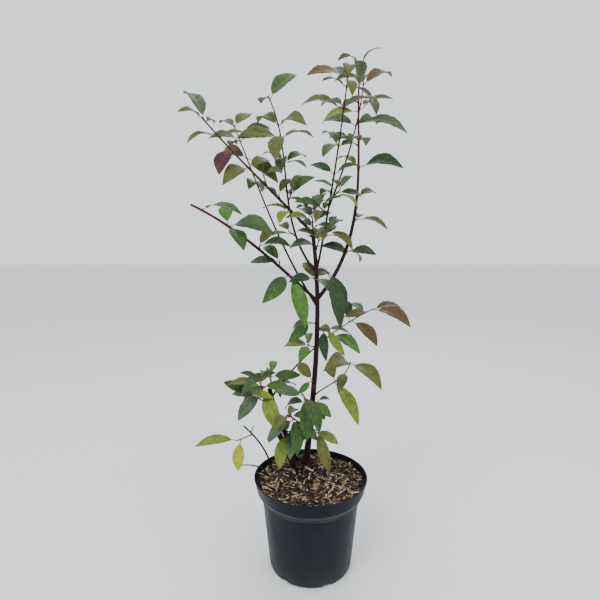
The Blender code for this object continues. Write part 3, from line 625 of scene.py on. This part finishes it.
# Faces of a box whose corners run through x, then y, then z
BOX_FACES = [(0, 1, 3, 2), (4, 6, 7, 5), (0, 4, 5, 1), (2, 3, 7, 6), (0, 2, 6, 4), (1, 5, 7, 3)]


def half_width(share):
    """Outline of a leaf: half its width, as a part of the greatest, at a share of its length."""
    return math.sin(math.pi * min(share, 1.0) ** 0.86) ** 0.74 * (1.0 - 0.30 * share ** 6)


def single_leaves(limb):
    """Each leaf of a limb by itself: the leaf as drawn, then its twin across the stem."""
    for index, leaf in enumerate(limb.leaves):
        yield f"{index}a", leaf.place, leaf.bearing, leaf.rise, leaf.length, leaf.slimness
        if leaf.twin is not None:
            yield (f"{index}b", leaf.place, leaf.bearing + 180.0, leaf.twin,
                   leaf.length * TWIN_SHORTENING, leaf.slimness)


class Blade(NamedTuple):
    """One placed leaf: where its stalk starts, where its blade starts and how it lies."""

    root: Vector
    base: Vector
    chord: Vector
    up: Vector
    arch: float
    fold: float
    length: float
    slimness: float
    tint: str


def place_leaf(name, place, bearing, rise, length, slimness, draw):
    """A leaf's blade: it turns its upper side to the light, with a roll and a fold of its own."""
    chord = direction(bearing, rise)
    stalk = direction(bearing, min(rise + PETIOLE_LIFT, STEEPEST_PETIOLE))
    root = limb_point(name, place) + stalk * limb_radius(name, place) * 0.3
    base = root + stalk * (limb_radius(name, place) + PETIOLE_SHARE * length)
    up = LIGHT - chord * LIGHT.dot(chord)
    if up.length < 0.3:
        up = Vector((0.0, 0.0, 1.0)) - chord * chord.z
    up.normalize()
    up = Matrix.Rotation(math.radians(draw.uniform(-LEAF_ROLL, LEAF_ROLL)), 3, chord) @ up
    arch = LEAF_ARCH * draw.uniform(0.7, 1.3) * (1.0 - 0.45 * abs(rise) / 90.0)
    fold = LEAF_FOLD * draw.uniform(0.6, 1.4)
    return Blade(root, base, chord, up, arch, fold, length, slimness, "")


def node_tree(node):
    """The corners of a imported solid, to look up a place among them."""
    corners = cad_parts[node].data.vertices
    tree = KDTree(len(corners))
    for corner in corners:
        tree.insert(corner.co, corner.index)
    tree.balance()
    return tree


def tint_of(name, label, place):
    if (name, label) in LEAF_TINTS:
        return LEAF_TINTS[name, label]
    draw = random.Random(f"tint {name} {label}")
    return draw.choice(TIP_TINTS if place > TIP_STRETCH and LIMBS[name].bare else INNER_TINTS)


def grow_leaves(name):
    """The leaves of one limb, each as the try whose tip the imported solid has.

    A leaf that found no room there isn't in the solid, and is left out here too.
    """
    tree = node_tree(f"foliage_{name}")
    grown = []
    for label, place, bearing, rise, length, slimness in single_leaves(LIMBS[name]):
        for attempt in range(LEAF_TRIES):
            draw = random.Random(f"{name} {label} {attempt}")
            turn = TRY_TURN * ((attempt + 1) // 2) * (-1.0 if attempt % 2 else 1.0)
            blade = place_leaf(
                name, place, bearing + turn + draw.uniform(-LEAF_JITTER, LEAF_JITTER),
                rise + draw.uniform(-LEAF_JITTER, LEAF_JITTER), length, slimness, draw)
            if tree.find(blade.base + blade.chord * length)[2] < TIP_TOLERANCE:
                grown.append(blade._replace(tint=tint_of(name, label, place)))
                break
    return grown


def blade_surface(blade, draw):
    """Points of a blade's upper side, with the share of its length and width at each.

    Side veins press the surface in, the margin waves and is toothed, and the whole blade
    arches, folds along its midrib, twists and bends a little sideways.
    """
    across = np.array(blade.chord.cross(blade.up))
    chord, up, base = np.array(blade.chord), np.array(blade.up), np.array(blade.base)
    share = np.linspace(0.0, 1.0, BLADE_STATIONS + 1)[:, None]
    column = np.linspace(-1.0, 1.0, 2 * BLADE_HALF_COLUMNS + 1)[None, :]
    outline = np.array([half_width(value) for value in share[:, 0]])[:, None]
    half = 0.5 * BLADE_SLIMMING * blade.slimness * blade.length * outline
    teeth = np.where(np.arange(BLADE_STATIONS + 1)[:, None] % 2, 1.0, 1.0 - TOOTH_DEPTH)
    half = half * np.where(np.abs(column) > 0.99, teeth, 1.0)
    phase = draw.uniform(0.0, WAVE_PHASES)
    side = np.abs(column)
    vein = VEIN_PAIRS * (share - VEIN_SLANT * side) * 2.0 * math.pi
    relief = -VEIN_RELIEF * np.cos(vein) * side * (1.0 - 0.7 * side) * 2.0
    wave = MARGIN_WAVE * np.sin(share * MARGIN_WAVE_TURNS + phase + column * 1.3) * side ** 2
    twist = draw.uniform(-BLADE_TWIST, BLADE_TWIST) * share
    lift = (blade.arch * 4.0 * share * (1.0 - share) + (relief + wave) * outline) * blade.length
    lift = lift + blade.fold * half * np.sin(side * math.pi / 2.0) + twist * half * column
    bend = draw.uniform(-SIDEWAYS_BEND, SIDEWAYS_BEND) * blade.length
    bend = bend * 4.0 * share * (1.0 - share)
    return (base + chord * (share * blade.length)[..., None]
            + across * (half * column + bend)[..., None]
            + up * lift[..., None]), share + 0.0 * column, column + 0.0 * share


def blade_mesh(blade, draw):
    """Points, faces, face kinds and UVs of a thin closed blade: its top and its underside."""
    top, share, column = blade_surface(blade, draw)
    rows, columns = top.shape[:2]
    up = np.array(blade.up)
    under = top - up * BLADE_THICKNESS
    points = np.concatenate([top.reshape(-1, 3), under.reshape(-1, 3)])
    index = np.arange(rows * columns).reshape(rows, columns)
    quads = np.stack([index[:-1, :-1], index[:-1, 1:], index[1:, 1:], index[1:, :-1]], -1)
    quads = quads.reshape(-1, 4)
    below = quads[:, ::-1] + rows * columns
    rim = np.concatenate([index[0, :], index[1:, -1], index[-1, -2::-1], index[-2:0:-1, 0]])
    after = np.roll(rim, -1)
    edge = np.stack([after, rim, rim + rows * columns, after + rows * columns], -1)
    faces = np.concatenate([quads, below, edge])
    kinds = np.concatenate([np.zeros(len(quads)), np.ones(len(below) + len(edge))])
    uv = np.stack([share.ravel(), column.ravel() * 0.5 + 0.5], -1)
    return points, faces, kinds.astype(np.int32), np.concatenate([uv, uv])


def band(low, high, corner, after):
    """Quads between two rings of points, from the numbers of their first points."""
    return np.stack([low + corner, low + after, high + after, high + corner], -1)


def fan(first, second, middle):
    """Triangles from a ring to one point, as quads whose last two corners are the same."""
    tip = np.full(len(first), middle)
    return np.stack([first, second, tip, tip], -1)


def tube(path, radii, sides):
    """Points and faces of a tube along a path, closed by a fan at both ends."""
    path = np.asarray(path, float)
    slope = np.gradient(path, axis=0)
    slope /= np.linalg.norm(slope, axis=1)[:, None]
    side = np.cross(slope[0], (0.0, 1.0, 0.0))
    if np.linalg.norm(side) < 0.2:
        side = np.cross(slope[0], (1.0, 0.0, 0.0))
    turn = np.arange(sides) * 2.0 * math.pi / sides
    rings = []
    for centre, heading, radius in zip(path, slope, radii):
        side = side - heading * side.dot(heading)
        side /= np.linalg.norm(side)
        other = np.cross(heading, side)
        spokes = np.outer(np.cos(turn), side) + np.outer(np.sin(turn), other)
        rings.append(centre + radius * spokes)
    points = np.concatenate(rings + [path[:1], path[-1:]])
    count = len(path)
    corner = np.arange(sides)
    after = (corner + 1) % sides
    faces = []
    for ring in range(count - 1):
        faces.append(band(ring * sides, (ring + 1) * sides, corner, after))
    foot, top = count * sides, (count - 1) * sides
    faces.append(fan(after, corner, foot))
    faces.append(fan(top + corner, top + after, foot + 1))
    return points, np.concatenate(faces)


def placed(name, data):
    """A new object in the scene."""
    piece = bpy.data.objects.new(name, data)
    bpy.context.scene.collection.objects.link(piece)
    return piece


class Heap:
    """Points and faces gathered into one mesh, which rides the plant's one body."""

    def __init__(self):
        self.points, self.faces, self.kinds, self.uvs = [], [], [], []
        self.count = 0

    def add(self, points, faces, kinds=None, uv=None):
        self.points.append(points)
        self.faces.append(faces + self.count)
        self.kinds.append(np.zeros(len(faces), np.int32) if kinds is None else kinds)
        self.uvs.append(np.zeros((len(points), 2)) if uv is None else uv)
        self.count += len(points)

    def build(self, name, finishes, nodes, slot, smooth=True):
        points = np.concatenate(self.points)
        faces = np.concatenate(self.faces)
        kinds = np.concatenate(self.kinds)
        uvs = np.concatenate(self.uvs)
        polygons = [tuple(dict.fromkeys(face)) for face in faces.tolist()]
        mesh = bpy.data.meshes.new(name)
        mesh.from_pydata(points.tolist(), [], polygons)
        mesh.polygons.foreach_set("material_index", kinds)
        mesh.polygons.foreach_set("use_smooth", np.full(len(polygons), smooth))
        layer = mesh.uv_layers.new(name="UVMap")
        corners = np.zeros(len(mesh.loops), np.int32)
        mesh.loops.foreach_get("vertex_index", corners)
        layer.data.foreach_set("uv", uvs[corners].ravel())
        for finish in finishes:
            mesh.materials.append(finish)
        mesh.update()
        piece = placed(name, mesh)
        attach(piece, "root")
        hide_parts(*nodes)
        return piece


class Graph:
    """A material's nodes, added in short calls."""

    def __init__(self, name, colour, roughness):
        self.material = bpy.data.materials.new(name)
        self.material.use_nodes = True
        self.tree = self.material.node_tree
        self.shader = self.tree.nodes["Principled BSDF"]
        self.shader.inputs["Base Color"].default_value = (*colour, 1.0)
        self.shader.inputs["Roughness"].default_value = roughness

    def node(self, kind, **settings):
        node = self.tree.nodes.new(kind)
        for key, value in settings.items():
            setattr(node, key, value)
        return node

    def link(self, out, into):
        self.tree.links.new(out, into)

    def noise(self, scale, detail=4.0, stretch=(1.0, 1.0, 1.0)):
        place = self.node("ShaderNodeTexCoord")
        squeeze = self.node("ShaderNodeMapping")
        squeeze.inputs["Scale"].default_value = stretch
        noise = self.node("ShaderNodeTexNoise")
        noise.inputs["Scale"].default_value = scale
        noise.inputs["Detail"].default_value = detail
        self.link(place.outputs["Object"], squeeze.inputs["Vector"])
        self.link(squeeze.outputs["Vector"], noise.inputs["Vector"])
        return noise.outputs["Fac"]

    def ramp(self, source, *stops):
        ramp = self.node("ShaderNodeValToRGB")
        while len(ramp.color_ramp.elements) < len(stops):
            ramp.color_ramp.elements.new(0.5)
        for element, (place, colour) in zip(ramp.color_ramp.elements, stops):
            element.position = place
            element.color = (*colour, 1.0)
        self.link(source, ramp.inputs["Fac"])
        return ramp.outputs["Color"]

    def math(self, operation, first, second=None):
        node = self.node("ShaderNodeMath", operation=operation)
        for socket, value in zip(node.inputs, (first, second)):
            if isinstance(value, (int, float)):
                socket.default_value = value
            elif value is not None:
                self.link(value, socket)
        return node.outputs["Value"]

    def mix(self, factor, first, second):
        node = self.node("ShaderNodeMix", data_type="RGBA")
        for key, value in (("Factor", factor), ("A", first), ("B", second)):
            socket = [s for s in node.inputs if s.name == key and s.type != "VECTOR"
                      and s.enabled][0 if key == "Factor" else -1]
            if isinstance(value, (int, float)):
                socket.default_value = value
            elif isinstance(value, tuple):
                socket.default_value = (*value, 1.0)
            else:
                self.link(value, socket)
        return [s for s in node.outputs if s.enabled][0]

    def bump(self, height, strength, distance):
        bump = self.node("ShaderNodeBump")
        bump.inputs["Strength"].default_value = strength
        bump.inputs["Distance"].default_value = distance
        self.link(height, bump.inputs["Height"])
        self.link(bump.outputs["Normal"], self.shader.inputs["Normal"])

    def colour(self, socket):
        self.link(socket, self.shader.inputs["Base Color"])


def scaled(colour, factor):
    """A colour made darker or lighter."""
    return tuple(min(1.0, part * factor) for part in colour)


def toward(colour, other, share):
    """A colour part of the way to another."""
    return tuple(a + (b - a) * share for a, b in zip(colour, other))


def leaf_finish(name, colour, under):
    """Leaf skin: paler veins laid out from the blade's own length and width, and soft mottling."""
    graph = Graph(name, colour, 0.62 if under else 0.48)
    uv = graph.node("ShaderNodeUVMap", uv_map="UVMap")
    parts = graph.node("ShaderNodeSeparateXYZ")
    graph.link(uv.outputs["UV"], parts.inputs["Vector"])
    along = parts.outputs["X"]
    width = graph.math("SUBTRACT", graph.math("MULTIPLY", parts.outputs["Y"], 2.0), 1.0)
    side = graph.math("ABSOLUTE", width)
    slant = graph.math("MULTIPLY", side, VEIN_SLANT)
    turns = graph.math("SUBTRACT", along, slant)
    phase = graph.math("MULTIPLY", turns, VEIN_PAIRS * 2.0 * math.pi)
    stripes = graph.math("ADD", graph.math("COSINE", phase), 1.0)
    lateral = graph.math("POWER", graph.math("MULTIPLY", stripes, 0.5), VEIN_SHARPNESS)
    midrib = graph.math("POWER", graph.math("SUBTRACT", 1.0, side), MIDRIB_SHARPNESS)
    veins = graph.math("MAXIMUM", graph.math("MULTIPLY", lateral, 0.6), midrib)
    mottle = graph.ramp(graph.noise(90.0, 5.0), (0.30, scaled(colour, 0.70)),
                        (0.75, scaled(colour, 1.35)))
    pale = toward(scaled(colour, 2.2), VEIN_PALE, 0.25)
    graph.colour(graph.mix(graph.math("MULTIPLY", veins, 0.42), mottle, pale))
    height = graph.math("ADD", graph.math("MULTIPLY", veins, 1.0 if under else -1.0),
                        graph.math("MULTIPLY", graph.noise(420.0, 2.0), 0.5))
    graph.bump(height, 0.35, 0.0006)
    graph.shader.inputs["Specular IOR Level"].default_value = 0.20
    graph.shader.inputs["Sheen Weight"].default_value = 0.06
    return graph.material


def bark_finish(name, colour, pale, scale):
    """Bark with a lengthwise grain and small pale specks."""
    graph = Graph(name, colour, 0.60)
    graph.shader.inputs["Specular IOR Level"].default_value = 0.15
    grain = graph.noise(scale, 6.0, (1.0, 1.0, 0.25))
    specks = graph.noise(scale * 5.0, 2.0)
    base = graph.ramp(grain, (0.30, scaled(colour, 0.55)), (0.55, colour), (0.78, pale))
    spots = graph.ramp(specks, (0.66, (0.0, 0.0, 0.0)), (0.72, (1.0, 1.0, 1.0)))
    graph.colour(graph.mix(graph.math("MULTIPLY", spots, 0.35), base, scaled(pale, 1.8)))
    graph.bump(graph.math("ADD", grain, graph.math("MULTIPLY", specks, 0.4)), 0.5, 0.0006)
    return graph.material


def make_leaves():
    """Every leaf, joined by colour, with all the stalks in a piece of their own."""
    heaps = {}
    stalks = Heap()
    nodes = [f"foliage_{name}" for name, limb in LIMBS.items() if limb.leaves]
    for name, limb in LIMBS.items():
        if not limb.leaves:
            continue
        for index, blade in enumerate(grow_leaves(name)):
            draw = random.Random(f"fine {name} {index}")
            heaps.setdefault(blade.tint, Heap()).add(*blade_mesh(blade, draw))
            steps = np.linspace(0.0, 1.0, PETIOLE_STEPS + 1)[:, None]
            root, base = np.array(blade.root), np.array(blade.base)
            chord = np.array(blade.chord)
            end = base + chord * blade.length * 0.06 + np.array(blade.up) * blade.length * 0.02
            path = root * (1 - steps) ** 2 + base * 2 * steps * (1 - steps) + end * steps ** 2
            radii = PETIOLE_RADIUS * np.linspace(PETIOLE_FOOT_SHARE, PETIOLE_TIP_SHARE,
                                                 PETIOLE_STEPS + 1)
            stalks.add(*tube(path, radii, PETIOLE_SIDES))
    for tint, heap in sorted(heaps.items()):
        colour = TINTS[tint]
        under = toward(scaled(colour, 1.6), UNDERSIDE_PALE, 0.55)
        heap.build(f"leaves_{tint}", (leaf_finish(f"leaf {tint}", colour, False),
                                      leaf_finish(f"leaf under {tint}", under, True)),
                   nodes, "leaves")
    skin = bark_finish("petiole", PETIOLE_COLOUR, PETIOLE_PALE, 260.0)
    stalks.build("petioles", (skin,), nodes, "leaves")


def limb_mesh(name, sides, first=0.0, last=1.0):
    """A limb's wood: a tube with a swelling at each pair of leaves and rough bark."""
    length = limb_length(name)
    steps = max(4, round((last - first) * length / WOOD_STEP))
    places = np.linspace(first, last, steps + 1)
    leaf_places = [] if name == "trunk" else [leaf.place for leaf in LIMBS[name].leaves]
    radii = []
    for place in places:
        radius = limb_radius(name, place)
        swell = sum(math.exp(-((place - other) * length / NODE_SWELL_LENGTH) ** 2)
                    for other in leaf_places)
        radii.append(radius * (1.0 + NODE_SWELL * min(swell, 1.0)))
    path = [tuple(limb_point(name, place)) for place in places]
    points, faces = tube(path, radii, sides)
    draw = np.random.default_rng(len(name) * 977 + sum(map(ord, name)))
    centre = np.repeat(np.asarray(path), sides, 0)
    count = len(centre)
    rough = draw.normal(0.0, 1.0, (len(path), sides))
    rough = (rough + np.roll(rough, 1, 1) + np.roll(rough, 1, 0)) / 3.0
    offset = points[:count] - centre
    points[:count] = centre + offset * (1.0 + BARK_RELIEF * rough.reshape(-1, 1))
    return points, faces


def make_wood():
    """The trunk, the bare boughs and the young leafy stems, each kind as one piece."""
    old = bark_finish("bark old", (0.016, 0.006, 0.005), (0.048, 0.022, 0.017), 130.0)
    young = bark_finish("bark young", (0.060, 0.014, 0.012), (0.110, 0.040, 0.024), 220.0)
    trunk = Heap()
    trunk.add(*limb_mesh("trunk", TRUNK_SIDES))
    trunk.build("trunk_bark", (old,), ("trunk",), "bark")
    boughs = Heap()
    bough_nodes = []
    stems = Heap()
    stem_nodes = []
    for name, limb in LIMBS.items():
        if limb.bare:
            boughs.add(*limb_mesh(name, BOUGH_SIDES, 0.0, limb.bare))
            bough_nodes.append(f"bough_{name}")
        if limb.leaves:
            stems.add(*limb_mesh(name, STEM_SIDES, limb.bare, 1.0))
            stem_nodes.append(f"foliage_{name}")
    boughs.build("boughs_bark", (old,), bough_nodes, "bark")
    stems.build("stems_bark", (young,), stem_nodes, "leaves")


def turned(profile, sides):
    """Points and faces of a solid turned about Z from a profile that starts and ends on it."""
    turn = np.arange(sides) * 2.0 * math.pi / sides
    ring = np.stack([np.cos(turn), np.sin(turn), np.zeros(sides)], -1)
    points = [np.array([[0.0, 0.0, profile[0][1]]])]
    points += [ring * radius + (0.0, 0.0, level) for radius, level in profile[1:-1]]
    points.append(np.array([[0.0, 0.0, profile[-1][1]]]))
    corner = np.arange(sides)
    after = (corner + 1) % sides
    last = 1 + (len(profile) - 2) * sides
    faces = [np.stack([np.zeros(sides, int), np.zeros(sides, int), 1 + after, 1 + corner], -1)]
    for index in range(len(profile) - 3):
        faces.append(band(1 + index * sides, 1 + (index + 1) * sides, corner, after))
    top = last - sides
    faces.append(fan(top + corner, top + after, last))
    return np.concatenate(points), np.concatenate(faces)


def rounded(profile):
    """A profile with each corner between its two ends rounded."""
    out = [profile[0]]
    for before, here, after in zip(profile, profile[1:], profile[2:]):
        here_point = np.array(here)
        back = np.array(before) - here_point
        ahead = np.array(after) - here_point
        reach = min(EDGE_ROUND, 0.4 * np.linalg.norm(back), 0.4 * np.linalg.norm(ahead))
        first = here_point + back / np.linalg.norm(back) * reach
        second = here_point + ahead / np.linalg.norm(ahead) * reach
        for step in range(EDGE_STEPS + 1):
            share = step / EDGE_STEPS
            rest = 1.0 - share
            point = first * rest ** 2 + here_point * 2 * share * rest + second * share ** 2
            out.append(tuple(point))
    out.append(profile[-1])
    return out


def pot_profile():
    """The pot's section from the middle of its underside, up outside, and down inside."""
    collar_foot = POT_HEIGHT - COLLAR_DEPTH
    turns = [math.radians(value) for value in (0.0, 18.0, 36.0, 54.0, 72.0, 90.0)]
    foot = [(FOOT_RADIUS - FOOT_ROUND * (1.0 - math.sin(turn)),
             FOOT_ROUND * (1.0 - math.cos(turn))) for turn in turns]
    upper = [(SHOULDER_RADIUS, collar_foot - SHOULDER_DROP), (COLLAR_RADIUS, collar_foot),
             (RIM_RADIUS - 0.0008, POT_HEIGHT - 0.0030), (RIM_RADIUS, POT_HEIGHT - 0.0012),
             (RIM_RADIUS - 0.0006, POT_HEIGHT),
             (RIM_RADIUS - LIP, POT_HEIGHT),
             (COLLAR_RADIUS - WALL, collar_foot + 0.001),
             (SHOULDER_RADIUS - WALL, collar_foot - SHOULDER_DROP),
             (FOOT_RADIUS - WALL, FOOT_ROUND),
             (FOOT_RADIUS - FOOT_ROUND, FLOOR)]
    body = rounded([foot[-1]] + upper + [(0.0, FLOOR)])
    return [(0.0, 0.0)] + foot + body[1:]


def pot_finish():
    """Black plastic, with dust low down and a painted highlight on the shoulder under the collar,
    broken up by the dust.
    """
    graph = Graph("pot plastic", (0.004, 0.006, 0.010), 0.42)
    graph.shader.inputs["Specular IOR Level"].default_value = 0.12
    place = graph.node("ShaderNodeTexCoord")
    parts = graph.node("ShaderNodeSeparateXYZ")
    graph.link(place.outputs["Object"], parts.inputs["Vector"])
    height = graph.math("DIVIDE", parts.outputs["Z"], POT_HEIGHT)
    dust = graph.ramp(graph.noise(26.0, 8.0, (1.0, 1.0, 0.5)), (0.40, (0.0,) * 3),
                      (0.72, (1.0,) * 3))
    # Painted highlight: the shoulder just under the collar is made pale blue-grey as if it caught
    # the light. It is brightest at its foot and fades towards the collar. Low down, the same paler
    # colour is dust.
    band = graph.ramp(height, (0.0, (0.30,) * 3), (0.20, (0.08,) * 3), (0.765, (0.10,) * 3),
                      (0.785, (1.0,) * 3), (0.845, (0.60,) * 3), (0.862, (0.04,) * 3))
    base = graph.ramp(height, (0.0, (0.016, 0.018, 0.016)), (0.14, (0.007, 0.010, 0.012)),
                      (0.5, (0.003, 0.006, 0.011)), (1.0, (0.002, 0.004, 0.009)))
    dust_and_highlight = graph.math("MULTIPLY", graph.math("ADD", graph.math("MULTIPLY", dust, 0.7), 0.3), band)
    graph.colour(graph.mix(dust_and_highlight, base, (0.085, 0.090, 0.095)))
    fine = graph.noise(700.0, 3.0)
    graph.link(graph.ramp(dust, (0.0, (0.38,) * 3), (1.0, (0.62,) * 3)),
               graph.shader.inputs["Roughness"])
    graph.bump(fine, 0.12, 0.0004)
    return graph.material


def notch_block(bearing):
    """The block whose shape a drain notch takes out of the pot's foot."""
    turn = Matrix.Rotation(math.radians(bearing), 4, "Z")
    corners = [turn @ Vector((x, y * NOTCH_WIDTH * 0.5, z))
               for x in (NOTCH_INNER_RADIUS, FOOT_RADIUS + 0.010) for y in (-1.0, 1.0)
               for z in (-0.005, NOTCH_HEIGHT)]
    mesh = bpy.data.meshes.new("cutter")
    mesh.from_pydata(corners, [], BOX_FACES)
    solid = bmesh.new()
    solid.from_mesh(mesh)
    bmesh.ops.recalc_face_normals(solid, faces=solid.faces)
    solid.to_mesh(mesh)
    solid.free()
    return placed("cutter", mesh)


def make_pot():
    heap = Heap()
    heap.add(*turned(pot_profile(), POT_SIDES))
    pot = heap.build("pot_shell", (pot_finish(),), ("pot",), "pot")
    for index in range(NOTCHES):
        cutter = notch_block(NOTCH_BEARING + index * 360.0 / NOTCHES)
        cut = pot.modifiers.new("notch", "BOOLEAN")
        cut.operation = "DIFFERENCE"
        cut.object = cutter
        cut.solver = "EXACT"
        bpy.context.view_layer.update()
        shaped = pot.evaluated_get(bpy.context.evaluated_depsgraph_get())
        result = bpy.data.meshes.new_from_object(shaped)
        pot.modifiers.clear()
        pot.data = result
        bpy.data.objects.remove(cutter, do_unlink=True)
    pot.data.polygons.foreach_set("use_smooth", np.full(len(pot.data.polygons), True))
    pot.data.set_sharp_from_angle(angle=math.radians(38.0))


def make_mix():
    """The top of the mix with a skirt down inside the pot, and the wood chips on it."""
    rings, sides = MIX_RINGS, MIX_SIDES
    edge = COLLAR_RADIUS - WALL - GAP + (RIM_RADIUS - LIP - COLLAR_RADIUS + WALL) * (
        (MIX_EDGE_LEVEL - POT_HEIGHT + COLLAR_DEPTH) / COLLAR_DEPTH) - GAP
    draw = np.random.default_rng(41)
    turn = np.arange(sides) * 2.0 * math.pi / sides
    points = []
    for ring in range(rings + 1):
        radius = edge * (1.0 - ring / (rings + 1))
        for angle in turn:
            x, y = radius * math.cos(angle), radius * math.sin(angle)
            points.append((x, y, ground_level(x, y)))
    points = np.array(points)
    rough = draw.normal(0.0, 1.0, len(points)) * MIX_GRAIN
    rough[:sides] = 0.0
    points[:, 2] += rough
    under = points[:sides].copy()
    under[:, 2] -= SKIRT_DEPTH
    under[:, :2] *= SKIRT_TAPER
    points = np.concatenate([points, under, [[0.0, 0.0, ground_level(0.0, 0.0)]],
                             [[0.0, 0.0, under[0, 2]]]])
    corner = np.arange(sides)
    after = (corner + 1) % sides
    faces = []
    for ring in range(rings):
        faces.append(band(ring * sides, (ring + 1) * sides, corner, after))
    top, skirt, centre = rings * sides, (rings + 1) * sides, (rings + 2) * sides
    faces.append(fan(top + corner, top + after, centre))
    faces.append(band(skirt, 0, corner, after))
    faces.append(fan(skirt + after, skirt + corner, centre + 1))
    heap = Heap()
    heap.add(points, np.concatenate(faces))
    graph = Graph("mix", (0.012, 0.009, 0.007), 0.95)
    coarse = graph.noise(220.0, 6.0)
    graph.colour(graph.ramp(coarse, (0.35, (0.003, 0.0025, 0.002)), (0.55, (0.016, 0.011, 0.008)),
                            (0.75, (0.060, 0.042, 0.028))))
    graph.bump(coarse, 0.9, 0.003)
    heap.build("mix_surface", (graph.material,), ("potting_mix",), "potting_mix", False)
    make_chips(edge)


CHIP_TINTS = {
    "tan": (0.240, 0.160, 0.085),
    "pale": (0.420, 0.340, 0.220),
    "pink": (0.190, 0.085, 0.050),
    "brown": (0.045, 0.024, 0.014),
    "black": (0.008, 0.006, 0.005),
}
CHIP_SHARES = ("tan", "pale", "brown", "black", "tan", "brown", "pink", "black", "brown", "pale",
               "black", "brown")


def make_chips(edge):
    """Wood chips strewn over the mix, fewer pale ones on the mound."""
    heaps = {tint: Heap() for tint in CHIP_TINTS}
    draw = random.Random(7)
    box = np.array([(x, y, z) for x in (-1.0, 1.0) for y in (-1.0, 1.0) for z in (-1.0, 1.0)])
    faces = np.array(BOX_FACES)
    for _ in range(CHIPS):
        radius = (edge - CHIP_EDGE_GAP) * math.sqrt(draw.random())
        angle = draw.uniform(0.0, 2.0 * math.pi)
        x, y = radius * math.cos(angle), radius * math.sin(angle)
        tint = draw.choice(CHIP_SHARES)
        # On the mound, most pale chips are swapped for black ones, which leaves the mound dark.
        on_mound = (Vector((x, y)) - MOUND_CENTRE).length < MOUND_FLAT_RADIUS
        if on_mound and tint in ("tan", "pale", "pink") and draw.random() < MOUND_BLACK_CHIP_SHARE:
            tint = "black"
        length = 0.5 * draw.uniform(*CHIP_LENGTHS) * (SHORT_CHIP if draw.random() < 0.5 else 1.0)
        half = np.array((length, 0.5 * draw.uniform(*CHIP_WIDTHS),
                         0.5 * draw.uniform(*CHIP_THICKNESSES)))
        uneven = np.array([[draw.uniform(-1, 1) for _ in range(3)] for _ in range(8)])
        corners = box * half * (1.0 + 0.12 * uneven)
        turn = (Matrix.Rotation(draw.uniform(0.0, math.tau), 3, "Z")
                @ Matrix.Rotation(draw.gauss(0.0, 0.28), 3, "Y")
                @ Matrix.Rotation(draw.gauss(0.0, 0.5), 3, "X"))
        corners = corners @ np.array(turn).T
        low = corners[:, 2].min()
        corners += (x, y, ground_level(x, y) - low - 0.0008 + draw.uniform(0.0, 0.0022))
        reach = np.hypot(corners[:, 0], corners[:, 1]).max()
        if reach > edge - 0.001:
            corners[:, :2] *= (edge - 0.001) / reach
        heaps[tint].add(corners, faces)
    for tint, heap in heaps.items():
        colour = CHIP_TINTS[tint]
        graph = Graph(f"chip {tint}", colour, 0.8)
        grain = graph.noise(380.0, 5.0)
        graph.colour(graph.ramp(grain, (0.30, scaled(colour, 0.55)), (0.72, scaled(colour, 1.3))))
        graph.bump(grain, 0.5, 0.0006)
        heap.build(f"chips_{tint}", (graph.material,), ("potting_mix",), "potting_mix", False)


def make_stage():
    """A plain pale floor, a pale sky and three soft lights."""
    mesh = bpy.data.meshes.new("floor")
    half = FLOOR_HALF_SIZE
    mesh.from_pydata([(-half, -half, 0.0), (half, -half, 0.0), (half, half, 0.0),
                      (-half, half, 0.0)], [], [(0, 1, 2, 3)])
    graph = Graph("floor", (0.74, 0.75, 0.755), 0.7)
    graph.colour(graph.ramp(graph.noise(3.0, 3.0), (0.0, (0.73, 0.74, 0.745)),
                            (1.0, (0.76, 0.77, 0.775))))
    mesh.materials.append(graph.material)
    floor = placed("floor", mesh)
    world = bpy.data.worlds.new("studio")
    world.use_nodes = True
    background = world.node_tree.nodes["Background"]
    background.inputs["Color"].default_value = (0.86, 0.90, 0.93, 1.0)
    background.inputs["Strength"].default_value = SKY_STRENGTH
    bpy.context.scene.world = world
    for name, place, size, power in (("key", (-1.3, -1.9, 2.7), 1.6, 62.0),
                                     ("fill", (1.9, -1.4, 1.5), 2.0, 14.0),
                                     ("back", (0.6, 1.9, 2.4), 1.6, 16.0)):
        lamp = bpy.data.lights.new(name, "AREA")
        lamp.shape = "DISK"
        lamp.size = size
        lamp.energy = power
        holder = placed(name, lamp)
        holder.location = place
        aim = LIGHT_AIM - Vector(place)
        holder.rotation_euler = aim.to_track_quat("-Z", "Y").to_euler()


def make_camera():
    data = bpy.data.cameras.new("camera")
    data.lens = CAMERA_LENS
    data.sensor_width = 36.0
    camera = placed("camera", data)
    camera.location = CAMERA_PLACE
    camera.rotation_euler = (math.radians(90.0 - CAMERA_PITCH), 0.0, 0.0)
    bpy.context.scene.camera = camera


make_camera()
make_stage()
make_pot()
make_mix()
make_wood()
make_leaves()
